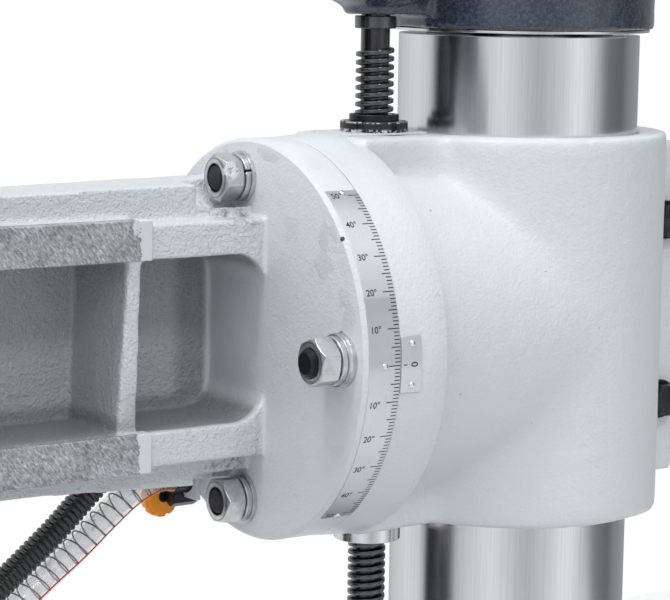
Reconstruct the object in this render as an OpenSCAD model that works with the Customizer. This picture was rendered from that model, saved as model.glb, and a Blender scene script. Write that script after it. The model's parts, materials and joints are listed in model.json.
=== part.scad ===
// Radial arm drill with a tilting arm. Millimetres, +Z up.
// The origin is on the floor, on the column's axis. The arm points along -X and the
// operator stands on its -Y side.

/* [Base] */
// Length of the base plate
base_l = 1440; // [1300:10:1700]
// Width of the base plate
base_w = 560; // [480:10:760]
// Height of the base plate
base_h = 140; // [110:5:180]
// Distance from the column's axis to the base's rear edge
base_back = 250; // [220:5:300]
// Distance between T-slots
t_slot_pitch = 150; // [110:5:170]
// Length of each T-slot from the front edge
t_slot_l = 800; // [500:10:820]
// Width of a T-slot's neck
t_slot_w = 22; // [18:1:28]
// Depth of a T-slot's neck
t_slot_neck = 24; // [18:1:32]
// Width of a T-slot's head
t_slot_head_w = 38; // [32:1:46]
// Height of a T-slot's head
t_slot_head_h = 16; // [12:1:20]
// Diameter of a foundation bolt hole
floor_hole_d = 26; // [18:1:32]
// Distance of the foundation holes from the base's long sides
floor_hole_side = 45; // [35:1:60]
// Distance of the foundation holes from the base's ends
floor_hole_end = 60; // [45:1:90]

/* [Column] */
// Outer diameter of the column
column_d = 180; // [172:1:184]
// Wall of the column
column_wall = 20; // [12:1:30]
// Height of the column's top above the floor
column_top = 1564; // [1545:1:1600]
// Diameter of the column foot's flange
foot_d = 350; // [330:5:400]
// Thickness of the column foot's flange
foot_flange_t = 34; // [24:1:44]
// Diameter of the column foot's hub
foot_hub_d = 228; // [222:1:232]
// Height of the column foot above the base
foot_h = 190; // [120:5:240]
// Number of foot bolts
foot_bolts_n = 8; // [6:1:10]
// Thread diameter of a foot bolt
foot_bolt_d = 20; // [16:1:22]
// Diameter of the pivot stub on the column's top
stub_d = 50; // [40:1:60]

/* [Arm sleeve] */
// Distance of the arm's axis below the column's top, as stored
axis_drop = 214; // [209:1:229]
// Outer diameter of the sleeve
sleeve_d = 224; // [218:1:240]
// Height of the sleeve above the arm's axis
sleeve_up = 143; // [140:1:146]
// Height of the sleeve below the arm's axis
sleeve_down = 141; // [138:1:160]
// Radial clearance of a running fit
run_fit = 0.05; // [0.02:0.01:0.09]
// Width of the boss that holds the lift nut
boss_w = 90; // [76:1:110]
// Width of the sleeve's clamping slit
slit_w = 5; // [3:1:8]

/* [Tilting flange] */
// Diameter of the arm's flange
flange_d = 284; // [280:1:300]
// Thickness of the arm's flange
arm_flange_t = 28.5; // [26:0.5:36]
// Thickness of the sleeve's flange
sleeve_flange_t = 38; // [34:1:40]
// Distance from the column's axis to the split between the flanges
split_x = 208.5; // [207:0.5:212]
// Gap between the two flanges
split_gap = 0.3; // [0.3:0.1:0.8]
// How much wider the sleeve's flange is at its back
flange_flare = 3; // [0:1:6]
// Diameter of the circle of studs
stud_pcd = 230; // [226:1:232]
// Number of studs
studs_n = 4; // [4:1:4]
// Thread diameter of a stud
stud_d = 20; // [18:1:22]
// Width of the nut across its flats
nut_af = 30; // [30:1:34]
// Height of the nut
nut_h = 16; // [14:1:20]
// Diameter of the pivot pin at the flange's centre
pivot_d = 70; // [60:1:90]
// Depth of the pivot pin in the arm's flange
pivot_in_arm = 17; // [10:1:20]
// Width of the angle scale
scale_w = 25; // [18:1:25]
// Thickness of the angle scale
scale_t = 0.8; // [0.5:0.1:1.5]
// Angle that the scale reaches above and below its zero
scale_half = 52; // [46:1:60]

/* [Arm] */
// Length of the arm from the flange to its free end
arm_l = 913; // [880:1:960]
// Depth of the arm's beam
beam_depth = 62; // [56:1:70]
// Top of the beam above the arm's axis
beam_top = 110; // [108:1:120]
// Bottom of the beam below the arm's axis
beam_bottom = 95; // [94:1:105]
// Extra depth of the beam's bottom at the flange
beam_root = 8; // [0:1:12]
// Length over which the beam's bottom tapers
beam_taper_l = 165; // [100:5:220]
// How far the guide rails stand out of the beam
rail_out = 22; // [18:1:26]
// Top of the upper rail
rail_hi_top = 91; // [88:1:94]
// Underside of the upper rail
rail_hi_bottom = 64; // [58:1:68]
// Top of the lower rail
rail_lo_top = -55; // [-60:1:-50]
// Underside of the lower rail
rail_lo_bottom = -82; // [-86:1:-78]
// Thickness of the web behind the pockets
web_t = 8; // [6:1:16]
// Radius of a pocket's corners
pocket_r = 24; // [8:1:30]
// Length of the pocket beside the flange
pocket_first = 100; // [70:1:110]
// Distance between ribs beyond the first
rib_pitch = 150; // [120:5:190]
// Thickness of a rib at its top
rib_t = 9; // [8:1:16]
// Extra thickness of a rib at its foot
rib_foot = 6; // [0:1:8]
// How far the painted rails stand behind the milled ones
rail_paint_step = 1.2; // [0.4:0.2:2]
// Length of the unmilled rail beside the flange
rail_paint_l = 98; // [70:1:110]

/* [Lift screw] */
// Distance of the lift screw's axis from the column's axis
screw_x = 132; // [130:1:134]
// Diameter of the lift screw
screw_d = 28; // [24:1:30]
// Diameter of the screw's plain shank
shank_d = 21; // [18:1:22]
// Length of the shank and its collar below the cap
shank_l = 26; // [20:1:32]
// Diameter of the nut's barrel
lift_nut_d = 45; // [42:1:50]
// Outer diameter of the castellated lock ring
lock_ring_d = 49; // [46:1:54]
// Height of the lift screw's lower end above the floor
screw_end_z = 370; // [340:5:420]

/* [Cap and lift drive] */
// Diameter of the cap
cap_d = 200; // [194:2:210]
// Height of the cap
cap_h = 70; // [66:1:90]
// Gap between the column's top and the cap
cap_gap = 2.5; // [1.5:0.5:4]
// Radius of the ear over the lift screw
ear_r = 23; // [22:1:26]
// How much wider the ear is above its lower edge
ear_flare = 21; // [18:1:24]
// Teeth of the lift screw's gear
lift_gear_n = 44; // [40:2:44]
// Teeth of the lift motor's pinion
lift_pinion_n = 20; // [18:2:22]
// Module of the lift gears
lift_module = 1.5; // [1.4:0.05:1.5]
// Diameter of the lift motor
lift_motor_d = 96; // [84:2:100]
// Length of the lift motor
lift_motor_l = 170; // [140:5:200]

/* [Drill head] */
// Distance from the column's axis to the spindle, as stored
head_x = 800; // [780:5:830]
// Width of the head
head_w = 210; // [200:5:230]
// Distance of the spindle in front of the beam
spindle_y = 190; // [180:1:200]
// Distance of the head's front behind or in front of the beam
head_front = 300; // [285:1:320]
// Top of the head above the arm's axis
head_top = 150; // [146:1:170]
// Bottom of the head below the arm's axis
head_bottom = 190; // [180:1:210]
// Sliding gap between the head and the rails
slide_gap = 0.3; // [0.3:0.05:0.5]
// Diameter of the quill
quill_d = 75; // [70:1:80]
// Length of the quill
quill_l = 240; // [220:5:260]
// How far the quill stands out of the head at rest
quill_out = 40; // [30:1:50]
// Travel of the quill
quill_travel = 160; // [120:5:160]
// Diameter of the spindle's nose
nose_d = 48; // [44:1:56]
// Diameter of the spindle's taper hole at its mouth
taper_mouth_d = 31.27; // [23:0.01:32]
// Depth of the spindle's taper hole
taper_depth = 100; // [80:1:110]
// Diameter of the spindle's upper shaft
shaft_d = 24; // [20:1:26]
// Teeth of the spindle gear
drive_gear_n = 60; // [56:2:60]
// Teeth of the drive motor's pinion
drive_pinion_n = 28; // [26:2:28]
// Module of the drive gears
drive_module = 2.5; // [2.3:0.1:2.5]
// Diameter of the drive motor
motor_d = 150; // [130:2:160]
// Length of the drive motor
motor_l = 240; // [200:5:280]

/* [Controls] */
// Radius of the traverse handwheel
wheel_r = 75; // [65:1:85]
// Length of a feed spoke
spoke_l = 150; // [120:5:170]
// Diameter of a ball knob
ball_d = 32; // [26:1:36]
// Teeth of the traverse pinion
traverse_n = 14; // [14:1:14]
// Module of the traverse rack
traverse_module = 3; // [3:0.5:3]
// Teeth of the feed pinion
feed_n = 16; // [16:1:16]
// Module of the quill's rack
feed_module = 2.5; // [2.5:0.5:2.5]

/* [Hoses] */
// Outer diameter of the clear hose
hose_d = 21.5; // [18:0.5:22]
// Bore of the clear hose
hose_bore = 15; // [12:0.5:15]
// Ribs on the clear hose
hose_ribs = 76; // [40:1:90]
// Outer diameter of the corrugated conduit
conduit_d = 20; // [18:0.5:21]
// Bore of the corrugated conduit
conduit_bore = 14; // [12:0.5:14]
// Ribs on the corrugated conduit
conduit_ribs = 110; // [60:1:110]

/* [Hidden] */
$fn = 64;
eps = 0.01;
seat = 0.02;
gap = 0.3;

base_front = base_back - base_l;
foot_top = base_h + foot_h;
column_r = column_d / 2;
axis_z = column_top - axis_drop;
plug_l = column_d / 6;
foot_bolt_r = (foot_d + foot_hub_d) / 4;
sleeve_r = sleeve_d / 2;
flange_r = flange_d / 2;
arm_face = -split_x - arm_flange_t;
sleeve_back = -split_x + sleeve_flange_t;
stud_r = stud_pcd / 2;
washer_t = 3;
spring_washer_t = 4;
// For each stud: its turn on the circle, its flat washers, and how far its end stands out of the nut
stud_turns = [0.9, 5.5, 0, -2.7];
washers_n = [2, 1, 1, 1];
stud_proud = [4, 0.3, 2, 0.4];
// How far each nut is turned, and where each spring washer is split
nut_turns = [51, 14, 20, 37];
split_turns = [100, 290, 100, 100];
t_head_d = nut_af + 4;
t_head_h = 12;
t_neck_h = 12.5;
nut_land = 40;
nut_neck_d = 35;
nut_plate_t = 1.6;
zero_plate_t = 1.2;
nut_plate_w = 48;
nut_plate_x = [sleeve_back, -screw_x + 30];
arm_end = arm_face - arm_l;
rail_face = -rail_out;
web_y = beam_depth - web_t;
pocket_depth = web_y - rail_face;
rail_step_x = arm_face - rail_paint_l;
stop_x = arm_face - 207;
rack_first_x = arm_face - 233;

cap_plate_t = 2;
cap_z = column_top + cap_gap + cap_plate_t;
stub_h = cap_gap + cap_plate_t + 20;
swing_bearing_h = 16;
ear_z = cap_z + 9.6;
ear_step = [5, 17];
cap_top = cap_z + cap_h;
gear_h = 18;
gear_floor = ear_z + 22;
lift_distance = lift_module * (lift_gear_n + lift_pinion_n) / 2;
motor_x = -screw_x + lift_distance;
lid_t = 8;

spindle_x = -head_x;
head_right = spindle_x + head_w / 2;
head_left = spindle_x - head_w / 2;
saddle_y = rail_face - slide_gap;
cavity_floor = 20;
drive_distance = drive_module * (drive_gear_n + drive_pinion_n) / 2;
drive_r = drive_module * drive_gear_n / 2;
drive_gear_z = 60;
drive_gear_h = 30;
motor_y = -spindle_y + drive_distance;
motor_bore_l = 50;
cover_t = 12;
traverse_r = traverse_module * traverse_n / 2;
traverse_x = spindle_x + 66;
rack_back = 10;
rack_z = rail_lo_bottom - rack_back;
traverse_z = rack_z - traverse_module - traverse_r;
feed_r = feed_module * feed_n / 2;
quill_pitch_r = quill_d / 2 - 1.1 * feed_module;
feed_y = -spindle_y - quill_pitch_r - feed_r;
feed_z = -head_bottom + 35;
motor_back = motor_y + motor_d / 2 + 10;
clamp_x = spindle_x - 62;
clamp_z = -150;
lever_x = spindle_x - 50;
lever_z = -30;
panel_stop_x = spindle_x + 45;
panel_start_x = spindle_x;
panel_z = 98;
quill_bottom = -head_bottom - quill_out;
quill_top = quill_bottom + quill_l;
nose_out = 32;
bearing_seat = 24;
front_bearing = [quill_d - 19, nose_d - 14];
rear_bearing = [quill_d - 23, shaft_d + 6];
tooth_root = 0.31;
tooth_tip = 0.13;

// Routes of the two hoses, measured from the arm's axis
hose_route = [
    [-253, 80, -112], [-267, 80, -112], [-287, 81, -121], [-309, 82, -138], [-331, 82, -156],
    [-359, 80, -175], [-402, 75, -205], [-450, 60, -233], [-505, 38, -250], [-560, 8, -246],
    [-610, -24, -218], [-645, -48, -180], [-664, -59, -150], [-668, -60, -130], [-668, -60, -112]];
conduit_route = [
    [-278, 78, -86], [-289, 78, -86], [-305, 78, -99], [-327, 77, -118], [-347, 75, -135],
    [-362, 74, -147],
    [-400, 70, -174], [-450, 58, -202], [-477, 49, -212], [-505, 38, -218], [-533, 24, -217],
    [-560, 8, -211], [-600, -20, -184], [-626, -44, -152], [-636, -58, -128], [-636, -58, -112]];

valve_y = hose_route[0][1];
valve_z = hose_route[0][2];
valve_af = 22;
knob_x = -249;
knob_y = 96;
knob_z = -131;
// Nut of the tap's inlet, below the hose
inlet = [-249, 88, -129];
inlet_af = 13;

// Shared shapes

module at_axis() {
    translate([0, 0, axis_z]) children();
}

// A cylinder along X that starts at x and runs towards +X
module rod_x(d, l, x = 0, y = 0, z = 0) {
    translate([x, y, z]) rotate([0, 90, 0]) cylinder(d = d, h = l);
}

// A cylinder along Y that starts at y and runs towards -Y
module rod_y(d, l, x = 0, y = 0, z = 0) {
    translate([x, y, z]) rotate([90, 0, 0]) cylinder(d = d, h = l);
}

module block(low, high) {
    translate(low) cube(high - low);
}

// A hexagon prism with both ends chamfered, standing on z = 0
module hex_nut(af, h) {
    corner_r = af / cos(30) / 2;
    flat_r = 0.46 * af;
    wide_r = corner_r + 0.5;
    chamfer = (wide_r - flat_r) * tan(30);
    intersection() {
        cylinder(r = corner_r, h = h, $fn = 6);
        rotate_extrude() polygon([[0, 0], [flat_r, 0], [wide_r, chamfer],
            [wide_r, h - chamfer], [flat_r, h], [0, h]]);
    }
}

module ring(d_out, d_in, h) {
    difference() {
        cylinder(d = d_out, h = h);
        translate([0, 0, -1]) cylinder(d = d_in, h = h + 2);
    }
}

// Points of a straight-sided gear
function gear_points(n, m) = [
    for (i = [0 : n - 1])
    for (p = [[-tooth_root, -1.2], [-tooth_tip, 0.9], [tooth_tip, 0.9], [tooth_root, -1.2]])
    let (a = (i + p[0]) * 360 / n, r = m * (n / 2 + p[1]))
    [r * cos(a), r * sin(a)]];

module gear(n, m, h, bore) {
    difference() {
        linear_extrude(h) polygon(gear_points(n, m));
        translate([0, 0, -1]) cylinder(d = bore, h = h + 2);
    }
}

// Points of a rack along X, teeth towards -Y, pitch line on y = 0, first tooth at x = 0
function rack_points(n, m, back) = concat(
    [for (i = [0 : n - 1])
     for (p = [[-tooth_root, 1.2], [-tooth_tip, -0.9], [tooth_tip, -0.9], [tooth_root, 1.2]])
     [(i + p[0]) * PI * m, p[1] * m]],
    [[(n - 1 + tooth_root) * PI * m, back], [-tooth_root * PI * m, back]]);

// A box along Z with four rounded upright edges
module round_box(low, high, r) {
    block([low[0] + r, low[1], low[2]], [high[0] - r, high[1], high[2]]);
    block([low[0], low[1] + r, low[2]], [high[0], high[1] - r, high[2]]);
    for (x = [low[0] + r, high[0] - r], y = [low[1] + r, high[1] - r])
        translate([x, y, low[2]]) cylinder(r = r, h = high[2] - low[2]);
}

// A pocket cut from the front: rounded corners along Y
module pocket(x0, x1, z0, z1, y0, y1, r) {
    block([x0 + r, y0, z0], [x1 - r, y1, z1]);
    block([x0, y0, z0 + r], [x1, y1, z1 - r]);
    for (x = [x0 + r, x1 - r], z = [z0 + r, z1 - r])
        rod_y(2 * r, y1 - y0, x, y1, z);
}

// Places its children on the stud circle, facing -X, with z = 0 on the plane x
module on_stud_circle(x) {
    for (i = [0 : studs_n - 1]) {
        $stud = i;
        translate([x, stud_y(i), stud_z(i)]) rotate([0, -90, 0]) children();
    }
}
function stud_y(i) = -stud_r * cos(i * 360 / studs_n + stud_turns[i]);
function stud_z(i) = stud_r * sin(i * 360 / studs_n + stud_turns[i]);

// Swept tubes for the hoses

// A point of a smooth curve through the route, t from 0 to the number of spans
function route_point(r, t) =
    let (n = len(r) - 1, i = min(floor(t), n - 1), u = t - i,
         a = r[max(i - 1, 0)], b = r[i], c = r[i + 1], d = r[min(i + 2, n)])
    0.5 * (2 * b + (c - a) * u + (2 * a - 5 * b + 4 * c - d) * u * u
        + (3 * b - a - 3 * c + d) * u * u * u);

function route_lengths(r, k, i = 0, sum = 0, last = undef, out = []) =
    i > k ? out :
    let (p = route_point(r, i * (len(r) - 1) / k), s = i == 0 ? 0 : sum + norm(p - last))
    route_lengths(r, k, i + 1, s, p, concat(out, [s]));

function find_span(lengths, s, lo, hi) =
    hi - lo <= 1 ? lo :
    let (mid = floor((lo + hi) / 2))
    lengths[mid] <= s ? find_span(lengths, s, mid, hi) : find_span(lengths, s, lo, mid);

// The curve's parameter at the share f of its length
function route_at(r, k, lengths, f) =
    let (s = f * lengths[k], i = find_span(lengths, s, 0, k),
         u = (s - lengths[i]) / (lengths[i + 1] - lengths[i]))
    (i + u) * (len(r) - 1) / k;

function unit(v) = v / norm(v);

function ring_at(r, t, radius, sides) =
    let (n = len(r) - 1, h = 0.01,
         tangent = unit(route_point(r, min(t + h, n)) - route_point(r, max(t - h, 0))),
         side = unit(cross(tangent, [0.6, 1, 0])), up = cross(side, tangent))
    [for (j = [0 : sides - 1])
     route_point(r, t) + radius * (cos(j * 360 / sides) * side + sin(j * 360 / sides) * up)];

// A hose with its bore: ribs stand out, each drawn by two rings, and the bore has fewer rings
module hose(route, d_out, rib_depth, bore, ribs) {
    sides = 8;
    steps = 120;
    bore_rings = 36;
    lengths = route_lengths(route, steps);
    shares = concat([0], [for (i = [0 : ribs - 1]) for (e = [0.3, 0.7]) (i + e) / ribs], [1]);
    outer = [for (i = [0 : len(shares) - 1])
        let (t = route_at(route, steps, lengths, shares[i]), high = i % 4 == 1 || i % 4 == 2)
        ring_at(route, t, d_out / 2 - (high ? 0 : rib_depth), sides)];
    inner = [for (i = [0 : bore_rings])
        ring_at(route, route_at(route, steps, lengths, i / bore_rings), bore / 2, sides)];
    n = len(outer);
    m = len(inner);
    first_in = n * sides;
    points = concat([for (q = outer) each q], [for (q = inner) each q]);
    function quad(a, b, c, d) = [[a, b, c], [a, c, d]];
    outer_faces = [for (i = [0 : n - 2]) for (j = [0 : sides - 1])
        let (k = (j + 1) % sides)
        each quad(i * sides + j, i * sides + k, (i + 1) * sides + k, (i + 1) * sides + j)];
    inner_faces = [for (i = [0 : m - 2]) for (j = [0 : sides - 1])
        let (k = (j + 1) % sides)
        each quad(first_in + i * sides + j, first_in + (i + 1) * sides + j,
            first_in + (i + 1) * sides + k, first_in + i * sides + k)];
    start_faces = [for (j = [0 : sides - 1])
        let (k = (j + 1) % sides) each quad(j, first_in + j, first_in + k, k)];
    end_faces = [for (j = [0 : sides - 1])
        let (k = (j + 1) % sides, a = (n - 1) * sides, b = first_in + (m - 1) * sides)
        each quad(a + j, a + k, b + k, b + j)];
    polyhedron(points, concat(outer_faces, inner_faces, start_faces, end_faces));
}

// Base and column

module base_plate() {
    color([0.35, 0.38, 0.44]) difference() {
        round_box([base_front, -base_w / 2, 0], [base_back, base_w / 2, base_h], 40);
        for (k = [-1 : 1]) {
            block([base_front - 1, k * t_slot_pitch - t_slot_w / 2, base_h - t_slot_neck - eps],
                [base_front + t_slot_l, k * t_slot_pitch + t_slot_w / 2, base_h + 1]);
            block([base_front - 1, k * t_slot_pitch - t_slot_head_w / 2,
                    base_h - t_slot_neck - t_slot_head_h],
                [base_front + t_slot_l, k * t_slot_pitch + t_slot_head_w / 2,
                    base_h - t_slot_neck]);
        }
        for (x = [base_front + floor_hole_end, base_back - floor_hole_end],
             y = [-1, 1] * (base_w / 2 - floor_hole_side))
            translate([x, y, -1]) cylinder(d = floor_hole_d, h = base_h + 2);
        foot_bolt_places() translate([0, 0, base_h - 45]) cylinder(d = foot_bolt_d + 2 * seat, h = 46);
    }
}

module foot_bolt_places() {
    for (i = [0 : foot_bolts_n - 1])
        rotate(i * 360 / foot_bolts_n + 180 / foot_bolts_n) translate([foot_bolt_r, 0, 0]) children();
}

module column_foot() {
    color([0.82, 0.84, 0.87]) difference() {
        translate([0, 0, base_h]) rotate_extrude()
            polygon([[column_r + seat, 0], [foot_d / 2, 0], [foot_d / 2, foot_flange_t - 4],
                [foot_d / 2 - 4, foot_flange_t], [foot_hub_d / 2 + 10, foot_flange_t],
                [foot_hub_d / 2, foot_flange_t + 12], [foot_hub_d / 2, foot_h - 6],
                [foot_hub_d / 2 - 6, foot_h], [column_r + seat, foot_h]]);
        foot_bolt_places() translate([0, 0, base_h - 1])
            cylinder(d = foot_bolt_d + 2, h = foot_flange_t + 2);
    }
}

module foot_bolts() {
    color([0.2, 0.2, 0.21]) foot_bolt_places() {
        translate([0, 0, base_h - 40]) cylinder(d = foot_bolt_d, h = foot_flange_t + 41);
        translate([0, 0, base_h + foot_flange_t]) {
            cylinder(d = foot_bolt_d * 1.8, h = 3);
            translate([0, 0, 2]) hex_nut(foot_bolt_d * 1.5, foot_bolt_d * 0.63);
        }
    }
}

module column_tube() {
    color([0.75, 0.76, 0.78]) translate([0, 0, base_h])
        ring(column_d, column_d - 2 * column_wall, column_top - base_h);
}

module column_plug() {
    color([0.6, 0.61, 0.63]) {
        translate([0, 0, column_top - plug_l]) cylinder(r = column_r - column_wall - seat, h = plug_l);
        translate([0, 0, column_top - 1]) cylinder(d = stub_d, h = stub_h + 1);
    }
}

// Cap and lift drive, which turn with the arm

// The cap's outline above the ear's lower edge
module cap_outline_solid(z0, z1) {
    r = ear_r + ear_flare;
    translate([0, 0, z0]) cylinder(d = cap_d, h = z1 - z0);
    translate([-screw_x, 0, max(z0, ear_z + ear_step[1])])
        cylinder(r = r, h = z1 - max(z0, ear_z + ear_step[1]));
    block([-screw_x, -r, max(z0, ear_z + ear_step[1])], [0, r, z1]);
}

module top_cap() {
    bearing_top = column_top + gap + swing_bearing_h;
    color([0.27, 0.32, 0.41]) difference() {
        union() {
            cap_outline_solid(cap_z, cap_top);
            translate([-screw_x, 0, ear_z]) rotate_extrude()
                polygon([[0, 0], [ear_r, 0], [ear_r, ear_step[0]],
                    [ear_r + ear_flare, ear_step[1]], [0, ear_step[1] + 1]]);
            block([-screw_x, -ear_r, ear_z], [0, ear_r, ear_z + ear_step[1] + 1]);
        }
        // Seat of the swing bearing, and the way for the column's stub
        translate([0, 0, cap_z - 1]) cylinder(d = cap_d / 2 + 2 * seat, h = bearing_top - cap_z + 1);
        translate([0, 0, cap_z]) cylinder(d = stub_d + 2, h = column_top + stub_h + 2 - cap_z);
        // Seat of the screw's bearing, and the cavity of the two gears
        translate([-screw_x, 0, ear_z - 1]) cylinder(d = shank_d + 4, h = 40);
        translate([-screw_x, 0, ear_z + 6]) cylinder(d = 40 + 2 * seat, h = 20);
        translate([-screw_x, 0, gear_floor])
            cylinder(r = lift_module * (lift_gear_n / 2 + 1) + 1.2, h = cap_h);
        translate([motor_x, 0, gear_floor])
            cylinder(r = lift_module * (lift_pinion_n / 2 + 1) + 2, h = cap_h);
    }
}

module cap_plate() {
    color([0.8, 0.81, 0.83]) translate([0, 0, cap_z - cap_plate_t])
        ring(cap_d - 6, cap_d / 2 + 4, cap_plate_t);
}

module swing_bearing() {
    color([0.7, 0.71, 0.73]) translate([0, 0, column_top + gap])
        ring(cap_d / 2, stub_d + 2 * run_fit, swing_bearing_h);
}

module cap_lid() {
    color([0.27, 0.32, 0.41]) difference() {
        cap_outline_solid(cap_top, cap_top + lid_t);
        translate([motor_x, 0, cap_top - 1]) cylinder(d = 22, h = lid_t + 2);
    }
}

module motor_shape(d, l, box_z) {
    difference() {
        union() {
            cylinder(d = d, h = l);
            cylinder(d = d + 4, h = 10);
            translate([-d / 4, d / 2 - 12, box_z]) cube([d / 2, 46, 62]);
        }
        // Grooves between the cooling fins
        for (i = [0 : 23])
            rotate(i * 15) translate([d / 2 - 4, -2.2, 22]) cube([8, 4.4, l - 40]);
    }
}

module fan_cover_shape(d) {
    difference() {
        cylinder(d = d + 4, h = 46);
        translate([0, 0, -1]) cylinder(d = d - 2, h = 43);
        for (i = [0 : 11])
            rotate(i * 30) translate([d / 8, -2.5, 40]) cube([d / 4, 5, 8]);
    }
}

module lift_motor() {
    color([0.3, 0.35, 0.43]) translate([motor_x, 0, cap_top + lid_t]) difference() {
        motor_shape(lift_motor_d, lift_motor_l, 40);
        translate([0, 0, -1]) cylinder(d = 12 + 2 * run_fit, h = 41);
    }
}

module lift_fan_cover() {
    color([0.2, 0.22, 0.26]) translate([motor_x, 0, cap_top + lid_t + lift_motor_l - 8]) difference() {
        fan_cover_shape(lift_motor_d + 4);
        translate([0, 0, -1]) cylinder(d = lift_motor_d + 2 * seat, h = 9);
    }
}

module elevating_screw() {
    thread_top = cap_z - shank_l + 9;
    color([0.16, 0.16, 0.17]) translate([-screw_x, 0, 0]) {
        translate([0, 0, screw_end_z]) cylinder(d1 = screw_d - 6, d2 = screw_d, h = 4);
        translate([0, 0, screw_end_z + 4]) cylinder(d = screw_d, h = thread_top - screw_end_z - 4);
        translate([0, 0, thread_top - eps]) cylinder(d = shank_d, h = gear_floor - thread_top);
        translate([0, 0, ear_z - gap - 9]) cylinder(d = shank_d + 11, h = 9);
        translate([0, 0, gear_floor - 2]) cylinder(d = shank_d - 3, h = gear_h + 8);
    }
}

module screw_bearing() {
    color([0.7, 0.71, 0.73]) translate([-screw_x, 0, ear_z + 6])
        ring(40, shank_d + 2 * run_fit, 14);
}

module lift_gear() {
    color([0.5, 0.51, 0.53]) translate([-screw_x, 0, gear_floor + 2])
        gear(lift_gear_n, lift_module, gear_h, shank_d - 3 + 2 * seat);
}

module lift_pinion() {
    turn = lift_pinion_n % 2 == 0 ? 180 / lift_pinion_n : 0;
    color([0.5, 0.51, 0.53]) translate([motor_x, 0, 0]) {
        translate([0, 0, gear_floor + 2]) rotate(turn) gear(lift_pinion_n, lift_module, gear_h, 10);
        translate([0, 0, gear_floor + 1]) cylinder(d = 12, h = cap_top + lid_t + 36 - gear_floor);
    }
}

// Sleeve, which slides on the column

module arm_sleeve() {
    clamp_r = sleeve_r + 34;
    color([0.83, 0.85, 0.88]) at_axis() difference() {
        union() {
            translate([0, 0, -sleeve_down]) cylinder(r = sleeve_r, h = sleeve_up + sleeve_down);
            // The neck narrows from the flange to the sleeve
            translate([sleeve_back - 1, 0, 0]) rotate([0, 90, 0])
                cylinder(r1 = sleeve_r + 12, r2 = sleeve_r, h = -sleeve_back + 1);
            block([sleeve_back - 1, -boss_w / 2, -sleeve_down], [0, boss_w / 2, sleeve_up]);
            translate([-split_x, 0, 0]) rotate([0, 90, 0])
                cylinder(r1 = flange_r, r2 = flange_r + flange_flare, h = sleeve_flange_t);
            // Clamping lugs at the back
            block([0, -26, -sleeve_down + 12], [clamp_r, 26, sleeve_up - 12]);
        }
        translate([0, 0, -sleeve_down - 1])
            cylinder(r = column_r + run_fit, h = sleeve_up + sleeve_down + 2);
        translate([-screw_x, 0, -sleeve_down - 1])
            cylinder(d = lift_nut_d + 2 * seat, h = sleeve_up + sleeve_down + 2);
        rod_x(pivot_d + 2 * seat, 46, -split_x - 1);
        // Round T-slot for the studs
        translate([-split_x - 1, 0, 0]) rotate([0, 90, 0])
            ring(stud_pcd + stud_d + 1, stud_pcd - stud_d - 1, t_neck_h + 1 + eps);
        translate([-split_x + t_neck_h, 0, 0]) rotate([0, 90, 0])
            ring(stud_pcd + t_head_d + 2, stud_pcd - t_head_d - 2, t_head_h + 1);
        // Milled seat of the plate under the lock ring
        block([nut_plate_x[0] - gap, -nut_plate_w / 2 - gap, sleeve_up],
            [nut_plate_x[1], nut_plate_w / 2 + gap, sleeve_up + flange_flare + 1]);
        // Clamping slit and its bolts' holes
        block([0, -slit_w / 2, -sleeve_down - 1], [clamp_r + 1, slit_w / 2, sleeve_up + 1]);
        for (z = [-1, 1] * sleeve_down / 2)
            rod_y(17, 60, sleeve_r + 16, 30, z);
    }
}

module lift_nut() {
    flange_t = 14;
    whole = sleeve_down + sleeve_up;
    color([0.72, 0.72, 0.7]) at_axis() translate([-screw_x, 0, -sleeve_down]) difference() {
        union() {
            translate([0, 0, -flange_t]) cylinder(d = lift_nut_d + 4, h = flange_t);
            translate([0, 0, -1]) cylinder(d = lift_nut_d, h = nut_land + 1);
            cylinder(d = lift_nut_d - 2, h = whole);
            translate([0, 0, whole - nut_land]) cylinder(d = lift_nut_d, h = nut_land);
            translate([0, 0, whole - 1]) cylinder(d = nut_neck_d, h = 10);
        }
        translate([0, 0, -flange_t - 1])
            cylinder(d = screw_d + 2 * run_fit, h = whole + flange_t + 12);
    }
}

module nut_plate() {
    color([0.8, 0.82, 0.85]) at_axis() difference() {
        block([nut_plate_x[0], -nut_plate_w / 2, sleeve_up],
            [nut_plate_x[1], nut_plate_w / 2, sleeve_up + nut_plate_t]);
        translate([-screw_x, 0, sleeve_up - 1]) cylinder(d = nut_neck_d + 2 * seat, h = 4);
    }
}

module nut_lock_ring() {
    color([0.12, 0.12, 0.13]) at_axis() translate([-screw_x, 0, sleeve_up + nut_plate_t]) difference() {
        cylinder(d = lock_ring_d, h = 9 - nut_plate_t);
        translate([0, 0, -1]) cylinder(d = nut_neck_d + 2 * seat, h = 10);
        for (i = [0 : 5]) rotate(i * 60 + 30) translate([lock_ring_d / 2 - 3.5, -3, -1]) cube([8, 6, 10]);
    }
}

module nut_washer() {
    color([0.14, 0.14, 0.15]) at_axis() translate([-screw_x, 0, sleeve_up + 9]) {
        ring(36, screw_d + 2, 5);
    }
}

module zero_plate() {
    z_half = 19;
    w = 16;
    inset = 0.5;
    inner = flange_r + 2 * seat;
    outer = flange_r + zero_plate_t;
    color([0.85, 0.86, 0.88]) at_axis() translate([-split_x, 0, 0]) rotate([0, 90, 0])
        rotate(-90 - plate_angle(z_half)) rotate_extrude(angle = 2 * plate_angle(z_half))
        polygon([[inner + flare_at(inset), inset], [outer + flare_at(inset), inset],
            [outer + flare_at(w), w], [inner + flare_at(w), w]]);
}
function plate_angle(half) = asin(half / flange_r);
function flare_at(x) = flange_flare * x / sleeve_flange_t;

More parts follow.
